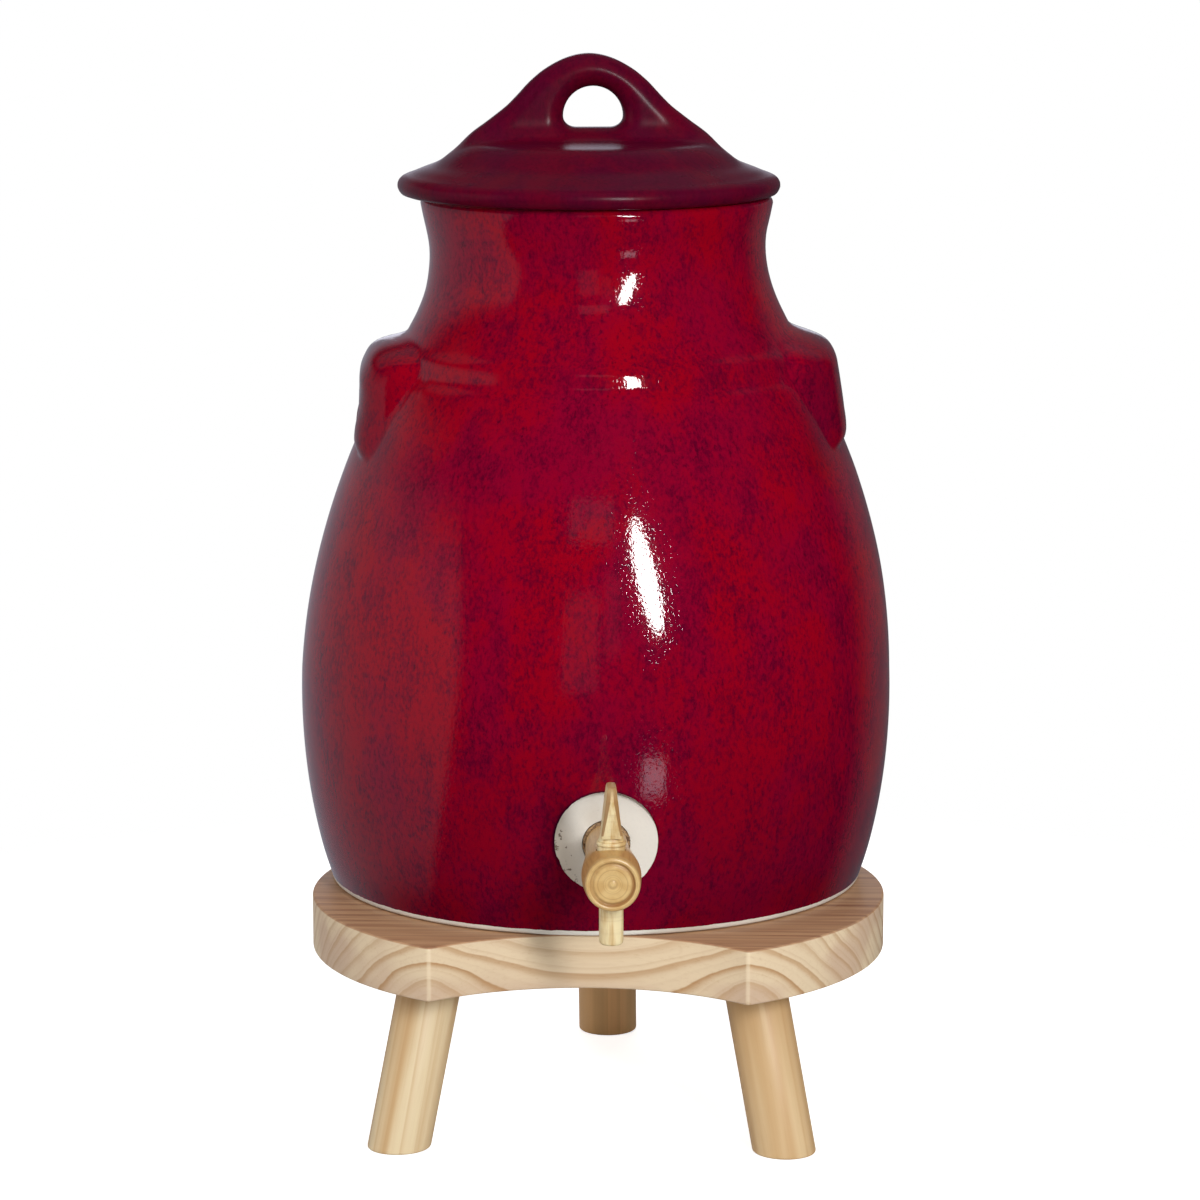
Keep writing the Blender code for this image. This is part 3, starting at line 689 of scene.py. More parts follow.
def from_grid(name: str, grid: np.ndarray, ring: bool = False) -> bpy.types.Object:
    """Makes a piece from rows of points that each go round.

    Args:
        name: The piece's name.
        grid: Points as [row, column, xyz].
        ring: Whether the last row joins the first.

    Returns:
        The piece.
    """
    rows, columns = grid.shape[:2]
    faces = []
    for i in range(rows if ring else rows - 1):
        below, above = i * columns, (i + 1) % rows * columns
        for j in range(columns):
            after = (j + 1) % columns
            faces.append((below + j, below + after, above + after, above + j))
    return mesh_piece(name, grid.reshape(-1, 3), faces)


def turned(name: str, profile: Sequence[Point2], sides: int, ring: bool = False) -> bpy.types.Object:
    """Turns a profile about Z.

    Args:
        name: The piece's name.
        profile: (radius, height) points.
        sides: How many columns it has.
        ring: Whether the profile closes on itself, and not on the axis.

    Returns:
        The turned piece.
    """
    angles = np.arange(sides) * 2 * math.pi / sides
    line = np.array(profile, float)
    grid = np.stack([line[:, :1] * np.cos(angles), line[:, :1] * np.sin(angles),
                     np.repeat(line[:, 1:], sides, axis=1)], axis=2)
    return tidy(from_grid(name, grid, ring))


def apply_modifiers(piece: bpy.types.Object) -> bpy.types.Object:
    """Makes the mesh what its modifiers show, and removes them.

    Args:
        piece: The piece.

    Returns:
        The piece.
    """
    bpy.context.view_layer.update()
    graph = bpy.context.evaluated_depsgraph_get()
    mesh = bpy.data.meshes.new_from_object(piece.evaluated_get(graph))
    old = piece.data
    piece.modifiers.clear()
    piece.data = mesh
    bpy.data.meshes.remove(old)
    return piece


def combine(piece: bpy.types.Object, tool: bpy.types.Object, cut: Cut) -> bpy.types.Object:
    """Joins a tool to a piece, or cuts it out, and removes the tool.

    Args:
        piece: The piece that is changed.
        tool: The other solid.
        cut: How they are combined.

    Returns:
        The piece.
    """
    modifier = piece.modifiers.new("cut", "BOOLEAN")
    modifier.operation = cut.value
    modifier.solver = "EXACT"
    modifier.object = tool
    apply_modifiers(piece)
    bpy.data.objects.remove(tool)
    return piece


def cylinder(radius: float, low: float, high: float, place: Matrix, sides: int = 96,
             high_radius: Optional[float] = None) -> bpy.types.Object:
    """A cylinder or cone that is used as a tool.

    Args:
        radius: Its radius at the low end.
        low: Its low end along its own Z.
        high: Its high end.
        place: Where it goes.
        sides: How many sides it has.
        high_radius: Its radius at the high end, if another.

    Returns:
        The tool.
    """
    end = radius if high_radius is None else high_radius
    made = turned("tool", [(0, low), (radius, low), (end, high), (0, high)], sides)
    made.matrix_world = place
    return made


def arc(centre: Point2, radius: float, first: float, last: float, steps: int) -> list[Point2]:
    """Points of an arc, from its first angle to its last, in degrees."""
    angles = np.radians(np.linspace(first, last, steps + 1))
    return [(centre[0] + radius * math.cos(a), centre[1] + radius * math.sin(a)) for a in angles]


def between(start: Point2, end: Point2, shares: Sequence[Point2]) -> list[Point2]:
    """Points on the way from one point to another, at shares of both ways."""
    return [(start[0] + (end[0] - start[0]) * a, start[1] + (end[1] - start[1]) * b)
            for a, b in shares]


def through(points: Sequence[Point2], steps: int = 16) -> np.ndarray:
    """A curve through points, without corners.

    Args:
        points: The points.
        steps: How many steps it takes from each point to the next.

    Returns:
        The curve's points.
    """
    line = np.array(points, float)
    gaps = np.diff(line, axis=0)
    lengths = np.maximum(np.linalg.norm(gaps, axis=1), WELD)[:, None]
    rates = gaps / lengths
    inner = (rates[:-1] * lengths[1:] + rates[1:] * lengths[:-1]) / (lengths[:-1] + lengths[1:])
    slopes = np.vstack([rates[:1], inner, rates[-1:]])
    t = (np.arange(steps) / steps)[:, None]
    pieces = [line[i] * (2 * t ** 3 - 3 * t ** 2 + 1) + line[i + 1] * (3 * t ** 2 - 2 * t ** 3)
              + (slopes[i] * (t ** 3 - 2 * t ** 2 + t) + slopes[i + 1] * (t ** 3 - t ** 2)) * lengths[i]
              for i in range(len(gaps))]
    return np.vstack([*pieces, line[-1:]])


def smooth_line(points: Sequence[Point2], blur: float, step: float = 0.25 * MM,
                closed: bool = False) -> np.ndarray:
    """Runs a smooth line through an outline's points.

    Args:
        points: The outline.
        blur: Over what length its corners are eased.
        step: The distance between the points of the result.
        closed: Whether it closes on itself.

    Returns:
        The line's points.
    """
    line = np.array(points, float)
    if closed:
        line = np.vstack([line, line[:1]])
    lengths = np.concatenate([[0], np.cumsum(np.linalg.norm(np.diff(line, axis=0), axis=1))])
    count = int(lengths[-1] / step) + 1
    at = np.linspace(0, lengths[-1], count)
    dense = np.stack([np.interp(at, lengths, line[:, i]) for i in range(2)], axis=1)
    reach = int(blur * 3 / step) + 1
    offsets = np.arange(-reach, reach + 1) * step
    weights = np.exp(-0.5 * (offsets / blur) ** 2)
    weights /= weights.sum()
    if closed:
        padded = np.vstack([dense[-reach - 1:-1], dense, dense[1:reach + 1]])
    else:
        padded = np.vstack([2 * dense[0] - dense[reach:0:-1], dense,
                            2 * dense[-1] - dense[-2:-reach - 2:-1]])
    eased = np.stack([np.convolve(padded[:, i], weights, "valid") for i in range(2)], axis=1)
    return eased[:-1] if closed else eased


def rounded_edge(first: np.ndarray, second: np.ndarray, rounding: float) -> np.ndarray:
    """The signed distance to the rounded edge between two sides.

    Args:
        first: Distances to one side, negative inside.
        second: Distances to the other.
        rounding: The edge's radius.

    Returns:
        The distances.
    """
    first, second = first + rounding, second + rounding
    corner = np.hypot(np.maximum(first, 0), np.maximum(second, 0))
    return corner + np.minimum(np.maximum(first, second), 0) - rounding


def soft_minimum(first: np.ndarray, second: np.ndarray, width: Union[float, np.ndarray]) -> np.ndarray:
    """The smaller of two distances, with a fillet of this width where they meet."""
    share = np.clip(0.5 + 0.5 * (second - first) / width, 0, 1)
    return second + (first - second) * share - width * share * (1 - share)


class OutlineField:
    """The signed distance to a closed outline, read from a fine grid."""

    def __init__(self, outline: np.ndarray, step: float = 0.4 * MM, margin: float = 12 * MM) -> None:
        """Fills the grid.

        Args:
            outline: The outline's corners.
            step: The spacing of the grid.
            margin: How far it reaches past the outline.
        """
        self.step = step
        self.low = outline.min(axis=0) - margin
        counts = np.ceil((outline.max(axis=0) + margin - self.low) / step).astype(int) + 1
        across, up = (self.low[i] + np.arange(counts[i]) * step for i in range(2))
        self.values = np.array([self._row(across, height, outline) for height in up])

    @staticmethod
    def _row(across: np.ndarray, height: float, outline: np.ndarray) -> np.ndarray:
        """Measures one row of the grid.

        Args:
            across: The row's first coordinates.
            height: Its second coordinate.
            outline: The outline's corners.

        Returns:
            The distances, negative inside.
        """
        starts, ends = outline, np.roll(outline, -1, axis=0)
        edges = ends - starts
        lengths = np.maximum((edges ** 2).sum(axis=1), WELD ** 2)
        points = np.stack([across, np.full(across.shape, height)], axis=1)
        away = points[:, None] - starts
        share = np.clip((away * edges).sum(axis=2) / lengths, 0, 1)
        distance = np.sqrt(((away - edges * share[:, :, None]) ** 2).sum(axis=2).min(axis=1))
        crossed = (starts[:, 1] > height) != (ends[:, 1] > height)
        first, edge = starts[crossed], edges[crossed]
        at = first[:, 0] + (height - first[:, 1]) / edge[:, 1] * edge[:, 0]
        inside = (across[:, None] < at).sum(axis=1) % 2 == 1
        return np.where(inside, -distance, distance)

    def at(self, across: np.ndarray, up: np.ndarray) -> np.ndarray:
        """Reads the field.

        Args:
            across: The points' first coordinates.
            up: Their second coordinates.

        Returns:
            The signed distances.
        """
        rows, columns = self.values.shape
        x = np.clip((across - self.low[0]) / self.step, 0, columns - 1.001)
        y = np.clip((up - self.low[1]) / self.step, 0, rows - 1.001)
        i, j = x.astype(int), y.astype(int)
        a, b = x - i, y - j
        below = self.values[j, i] * (1 - a) + self.values[j, i + 1] * a
        above = self.values[j + 1, i] * (1 - a) + self.values[j + 1, i + 1] * a
        return below * (1 - b) + above * b


def hand_over(piece: bpy.types.Object, body: Body, node: str,
              material: bpy.types.Material) -> None:
    """Gives a piece its finish and puts it in the frame.

    Args:
        piece: The piece, in its place.
        body: The body that it moves with.
        node: The solid that it stands for.
        material: Its finish.
    """
    mesh = piece.data
    mesh.materials.clear()
    mesh.materials.append(material)
    points = np.empty(len(mesh.vertices) * 3, np.float32)
    mesh.vertices.foreach_get("co", points)
    mesh.attributes.new(OWN_PLACE, "FLOAT_VECTOR", "POINT").data.foreach_set("vector", points)
    mesh.transform(piece.matrix_basis)
    piece.matrix_basis = Matrix()
    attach(piece, body.value)
    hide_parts(node)
    LOG.info("%s: %d faces on body %s", piece.name, len(piece.data.polygons), body.value)


@dataclass
class EarLug:
    """A lug on the crock's shoulder: a shelf over a round hump that is hollowed out from below."""

    # Its outline seen from the front, as (reach, height) in mm, from the shelf's root to its foot
    outline_mm: tuple[Point2, ...] = (
        (58, 213), (66, 208.6), (73, 206.0), (78.5, 204.1), (82.4, 202.4), (85.0, 200.4), (86.3, 198),
        (87.0, 194.6), (88.1, 188), (89.2, 180.8), (90.1, 174.6), (90.1, 171.4), (89.0, 168.8), (85, 166.6),
        (75, 165))
    flank: float = 39.0 * MM
    depth: float = 22.5 * MM
    squareness: float = 5.0
    sag: float = 6.0 * MM
    recess_half_width: float = 19.5 * MM
    recess_top: float = 184.0 * MM
    recess_rounding: float = 7.0 * MM
    recess_edge: float = 4.0 * MM
    recess_depth: float = 14.0 * MM
    low_blend: float = 1.4 * MM
    high_blend: float = 3.2 * MM
    blend_heights: Point2 = (197.0 * MM, 203.0 * MM)
    blur: float = 0.7 * MM
    reach_limits: Point2 = (50.0 * MM, 120.0 * MM)
    halvings: int = 24

    def reach(self, aside: np.ndarray, height: np.ndarray) -> np.ndarray:
        """How far out its surface lies.

        Args:
            aside: Distances from its middle plane.
            height: Heights.

        Returns:
            The distances from the plane through the crock's axis.
        """
        corners = [(out * MM, up * MM) for out, up in self.outline_mm]
        line = smooth_line(through(corners, 8), self.blur)[::-1]
        share = np.clip(np.abs(aside) / self.flank, 0, 1)
        tip = np.interp(height + self.sag * share ** 2, line[:, 1], line[:, 0])
        return tip - self.depth * (1 - np.sqrt(1 - share ** self.squareness))

    def hollow(self, aside: np.ndarray, height: np.ndarray) -> np.ndarray:
        """How deep the hollow under it is.

        Args:
            aside: Distances from its middle plane.
            height: Heights.

        Returns:
            The shares of the full depth.
        """
        edge = rounded_edge(np.abs(aside) - self.recess_half_width, height - self.recess_top,
                            self.recess_rounding)
        share = np.clip(-edge / self.recess_edge, 0, 1)
        return share * share * (3 - 2 * share)

    def radius(self, angle: np.ndarray, height: np.ndarray, wall: np.ndarray) -> np.ndarray:
        """The radius of the wall with this lug on it.

        Args:
            angle: Angles from the lug's middle.
            height: Heights, one for each angle.
            wall: The wall's radius there.

        Returns:
            The radii.
        """
        low, high = (np.full(height.shape, limit) for limit in self.reach_limits)
        for _ in range(self.halvings):
            middle = (low + high) / 2
            outside = middle * np.cos(angle) > self.reach(middle * np.sin(angle), height)
            low, high = np.where(outside, low, middle), np.where(outside, middle, high)
        lug = low - self.hollow(low * np.sin(angle), height) * self.recess_depth
        blend = np.interp(height, self.blend_heights, (self.low_blend, self.high_blend))
        return -soft_minimum(-lug, -wall, blend)


@dataclass
class CrockBody:
    """The thrown pot, with its ear lugs and the flat seat of the tap. Heights are from its base."""

    belly: Point2 = (110.0 * MM, 71.0 * MM)
    foot: Point2 = (99.4 * MM, 1.6 * MM)
    shoulder: Point2 = (79.7 * MM, 190.0 * MM)
    neck: Point2 = (61.8 * MM, 236.0 * MM)
    lip_radius: float = 64.8 * MM
    height: float = 255.0 * MM
    wall: float = 6.5 * MM
    floor: float = 8.5 * MM
    floor_rounding: float = 12.0 * MM
    rim_width: float = 7.5 * MM
    rim_rounding: float = 2.5 * MM
    blur: float = 3.0 * MM
    ridge_height: float = 195.5 * MM
    ridge_width: float = 3.6 * MM
    ridge_depth: float = 1.1 * MM
    # How far the wall leans to the right, as (height, distance) in mm
    sway_mm: tuple[Point2, ...] = (
        (80, 0), (104, 0.6), (119, 1.0), (130, 1.2), (153, 1.55), (180, 1.7), (212, 1.7), (220, 1.45),
        (227, 1.05), (235, 0.7), (242, 0.35), (255, 0.4))
    lip_to_neck_shares: tuple[Point2, ...] = ((0.30, 0.30), (0.80, 0.65))
    neck_to_shoulder_shares: tuple[Point2, ...] = (
        (0.055, 0.217), (0.119, 0.326), (0.20, 0.413), (0.38, 0.565), (0.631, 0.739), (0.883, 0.913))
    shoulder_to_belly_shares: tuple[Point2, ...] = (
        (0.127, 0.067), (0.236, 0.1345), (0.343, 0.202), (0.452, 0.269), (0.5717, 0.353), (0.677, 0.437),
        (0.8445, 0.605))
    belly_to_foot_shares: tuple[Point2, ...] = ((0.045, 0.23), (0.225, 0.50), (0.485, 0.72), (0.76, 0.89))
    right_ear: EarLug = field(default_factory=EarLug)
    left_ear: EarLug = field(default_factory=lambda: EarLug(outline_mm=(
        (58, 210.0), (66, 206.0), (73, 203.8), (78.5, 202.6), (82.4, 201.2), (85.2, 199.2), (87.2, 196),
        (88.6, 192.6), (89.0, 186), (89.6, 180), (91.0, 173), (91.2, 168.5), (90.0, 164.8), (86, 162),
        (75, 160.5))))
    ear_angle: float = 35.0  # degrees from an ear's middle to where the wall is round again
    ear_heights: Point2 = (140.0 * MM, 222.0 * MM)
    boss_radius: float = 18.3 * MM
    boss_margin: float = 0.4 * MM
    boss_height: float = 36.2 * MM
    boss_reach: float = 106.006 * MM  # from the axis to its face
    overrun: float = 6.0 * MM
    # The mesh's spacing: columns in degrees, rows in metres
    ear_column: float = 0.5
    plain_column: float = 2.0
    boss_column: float = 0.75
    boss_angles: Point2 = (255.0, 285.0)
    ear_row: float = 0.8 * MM
    plain_row: float = 2.5 * MM
    boss_row: float = 1.2 * MM
    boss_heights: Point2 = (14.0 * MM, 60.0 * MM)
    # The glaze's edges: how they waver, and where they lie from the size that each follows
    ragged_size: float = 4.0 * MM
    ragged_depth: float = 0.7 * MM
    creep_size: float = 7.0 * MM
    creep_depth: float = 0.7 * MM
    bare_foot: float = 2.0 * MM
    foot_edge: Point2 = (0.30 * MM, 0.45 * MM)
    boss_edge: Point2 = (-0.05 * MM, 0.15 * MM)
    rim_edge: Point2 = (-0.25 * MM, -0.10 * MM)
    seat_edge: Point2 = (-4.4 * MM, -4.1 * MM)
    # Where the glaze is darker: round the boss, glaze run together with the recess's painted shade; low on
    # the pot and on the ears, painted shade
    boss_pool_and_shade_edge: Point2 = (0.3 * MM, 1.9 * MM)
    painted_shade_height: float = 120.0 * MM
    ear_shade_reach: Point2 = (70.0 * MM, 80.0 * MM)
    ear_shade_foot: Point2 = (152.0 * MM, 168.0 * MM)
    ear_shade_top: Point2 = (204.0 * MM, 212.0 * MM)
    stain_foot: Point2 = (4.0 * MM, 8.0 * MM)
    glaze: Glaze = field(default_factory=lambda: Glaze("crock_glaze_red"))

    def side(self) -> np.ndarray:
        """The outer outline, eased.

        Returns:
            (radius, height) points from the lip down to the foot.
        """
        lip = (self.lip_radius, self.height - self.rim_rounding)
        points = [lip, *between(lip, self.neck, self.lip_to_neck_shares),
                  self.neck, *between(self.neck, self.shoulder, self.neck_to_shoulder_shares),
                  self.shoulder, *between(self.shoulder, self.belly, self.shoulder_to_belly_shares),
                  self.belly, *between(self.belly, self.foot, self.belly_to_foot_shares), self.foot]
        line = smooth_line(through(points), self.blur)
        up = (line[:, 1] - self.ridge_height) / self.ridge_width
        line[:, 0] += up * np.exp(-0.25 * up ** 4) * self.ridge_depth
        return np.minimum(line, (self.belly[0], self.height))

    def columns(self) -> np.ndarray:
        """Places the mesh's columns, finer at the ears and at the boss.

        Returns:
            Their angles, in radians.
        """
        half, slack = self.ear_angle, 0.1
        first, last = self.boss_angles
        ears = np.arange(-half, half + slack, self.ear_column)
        plain = np.arange(half + self.plain_column, 180 - half - self.plain_column / 2, self.plain_column)
        front = np.arange(first, last + slack, self.boss_column)
        angles = np.concatenate([ears, plain, ears + 180, plain + 180, front])
        return np.radians(np.unique(np.round(angles, 3)))

    def rows(self) -> np.ndarray:
        """Places the outer side's rows, finer at the ears and at the boss.

        Returns:
            Their heights, from the top down.
        """
        low, high = self.ear_heights
        under, over = self.boss_heights
        top = self.height - self.rim_rounding
        heights = np.concatenate([
            np.linspace(top, high, 14), np.arange(high, low, -self.ear_row),
            np.arange(low, over, -self.plain_row), np.arange(over, under, -self.boss_row),
            np.linspace(under, self.foot[1], 9)])
        return np.unique(np.round(heights, 6))[::-1]

    def inside(self, wall: Callable[[np.ndarray], np.ndarray]) -> np.ndarray:
        """The inner outline, from the middle of the floor up and over the lip.

        Args:
            wall: Gives the outer radius at a height.

        Returns:
            (radius, height) points.
        """
        corner_height = self.floor + self.floor_rounding
        heights = np.linspace(corner_height, self.neck[1], 60)
        radii = wall(heights) - self.wall
        corner = (float(radii[0]) - self.floor_rounding, corner_height)
        mouth = self.lip_radius - self.rim_width
        top = self.height - self.rim_rounding
        return np.array([
            (0, self.floor), *arc(corner, self.floor_rounding, -90, 0, 8)[:-1], *zip(radii, heights),
            *arc((mouth + self.rim_rounding, top), self.rim_rounding, 180, 90, 6),
            *arc((self.lip_radius - self.rim_rounding, top), self.rim_rounding, 90, 0, 6)[:-1]])

    def build(self, name: str) -> bpy.types.Object:
        """Makes the pot about its own axis, standing at height 0.

        Args:
            name: The piece's name.

        Returns:
            The pot.
        """
        line = self.side()[::-1]

        def wall(height: np.ndarray) -> np.ndarray:
            """The outer radius at a height."""
            return np.interp(height, line[:, 1], line[:, 0])

        angles, heights = self.columns(), self.rows()
        outer = np.repeat(wall(heights)[:, None], len(angles), axis=1)
        slack = 0.001
        half = math.radians(self.ear_angle) + slack
        low, high = self.ear_heights
        beside = (heights > low) & (heights < high)
        for ear, middle in ((self.right_ear, 0.0), (self.left_ear, math.pi)):
            turn = np.angle(np.exp(1j * (angles - middle)))
            near = np.abs(turn) < half
            height_grid, turn_grid = np.meshgrid(heights[beside], turn[near], indexing="ij")
            picked = np.ix_(beside, near)
            outer[picked] = ear.radius(turn_grid, height_grid, outer[picked])

        inside = self.inside(wall)
        edge = self.foot[1]
        below = np.array([*arc((self.foot[0] - edge, edge), edge, 0, -90, 4)[1:], (0, 0)])
        radius = np.vstack([np.repeat(inside[:, :1], len(angles), axis=1), outer,
                            np.repeat(below[:, :1], len(angles), axis=1)])
        level = np.concatenate([inside[:, 1], heights, below[:, 1]])
        lean = np.array(self.sway_mm) * MM
        sway = np.interp(level, lean[:, 0], lean[:, 1])[:, None]
        grid = np.stack([radius * np.cos(angles) + sway, radius * np.sin(angles),
                         np.repeat(level[:, None], len(angles), axis=1)], axis=2)
        return self._seat_the_tap(tidy(from_grid(name, grid)))

    def _seat_the_tap(self, pot: bpy.types.Object) -> bpy.types.Object:
        """Adds the boss and levels its face.

        Args:
            pot: The pot without its boss.

        Returns:
            The pot.
        """
        reach, past = self.boss_reach, self.belly[0] + self.overrun
        place = Matrix.Translation((0, 0, self.boss_height)) @ DOWN_FORWARD
        combine(pot, cylinder(self.boss_radius, reach - self.wall, past, place), Cut.UNION)
        recess = cylinder(self.boss_radius + self.boss_margin, reach, past + self.overrun, place)
        return combine(pot, recess, Cut.DIFFERENCE)

    def bore(self, pot: bpy.types.Object, tap: "Tap") -> bpy.types.Object:
        """Bores the hole for the tap's cork.

        Args:
            pot: The pot.
            tap: The tap that goes in it.

        Returns:
            The pot.
        """
        place = Matrix.Translation((0, 0, self.boss_height - tap.drop)) @ DOWN_FORWARD
        reach = self.boss_reach
        back = self.wall * 2
        hole = cylinder(tap.cork_radius_at(-back) + CLEARANCE, reach - back, reach + MM, place,
                        high_radius=tap.cork_radius_at(MM) + CLEARANCE)
        return combine(pot, hole, Cut.DIFFERENCE)

    def bare_where(self, shader: Shader, place: Wire) -> Wire:
        """The mask of bare clay: the foot, the boss's face and the seat of the lid.

        Args:
            shader: The tree.
            place: The surface point in the pot's own frame.

        Returns:
            1 where the clay is bare.
        """
        x, y, z = shader.parts_of(place)
        ragged = shader.noise(place, self.ragged_size, 3, 0.6) * self.ragged_depth
        foot = 1 - (z + ragged).smooth(*band(self.bare_foot, self.foot_edge))
        creep = shader.noise(place + 2.7, self.creep_size, 3, 0.6).smooth(0.50, 0.85) * self.creep_depth
        from_boss = x.hypotenuse(z - self.boss_height) + ragged * 0.25 + creep
        on_boss = 1 - from_boss.smooth(*band(self.boss_radius, self.boss_edge))
        ahead = 1 - y.smooth(0.0, self.wall)
        rim = z.smooth(*band(self.height, self.rim_edge))
        within = 1 - x.hypotenuse(y).smooth(*band(self.lip_radius, self.seat_edge))
        return foot.larger(on_boss * ahead).larger(rim * within)

    def pooled_and_shaded_where(self, shader: Shader, place: Wire) -> Wire:
        """The mask of darker glaze: painted shade low on the pot and on its ears, and round its boss glaze
        run together with painted shade.

        Args:
            shader: The tree.
            place: The surface point in the pot's own frame.

        Returns:
            1 where the glaze is darkest.
        """
        x, y, z = shader.parts_of(place)
        up = z - self.boss_height
        away = x.hypotenuse(up)
        # Round the boss, most above and to its left: glaze run together, and the recess's painted shade
        ring = 1 - away.smooth(*band(self.boss_radius, self.boss_pool_and_shade_edge))
        above = ((up - x) / away).smooth(-0.5, 1.1)
        round_boss = ring * (above * 0.95 + 0.05) * (1 - y.smooth(0.0, self.wall))
        # Painted shade, darker towards the bottom
        low = 1 - z.smooth(0.0, self.painted_shade_height)
        # Painted shade over the ears, where they stand out from the wall
        on_ears = x.apply("ABSOLUTE").smooth(*self.ear_shade_reach) * z.smooth(*self.ear_shade_foot)
        on_ears = on_ears * (1 - z.smooth(*self.ear_shade_top))
        return round_boss.larger(low * 0.40).larger(on_ears * 0.32)

    def stained_where(self, shader: Shader, place: Wire) -> Wire:
        """The mask of the boss's grey and speckled left side.

        Args:
            shader: The tree.
            place: The surface point in the pot's own frame.

        Returns:
            1 where the clay is grey.
        """
        x, _, z = shader.parts_of(place)
        left = (x * -1 - (z - self.boss_height) * 0.35) * (1 / self.boss_radius)
        return left.smooth(0.45, 1.0) * z.smooth(*self.stain_foot) * 0.8

    def dress(self) -> bpy.types.Material:
        """Its glaze over bare stoneware."""
        return GlazedPot(self.glaze).make(self.bare_where, self.pooled_and_shaded_where, self.stained_where)


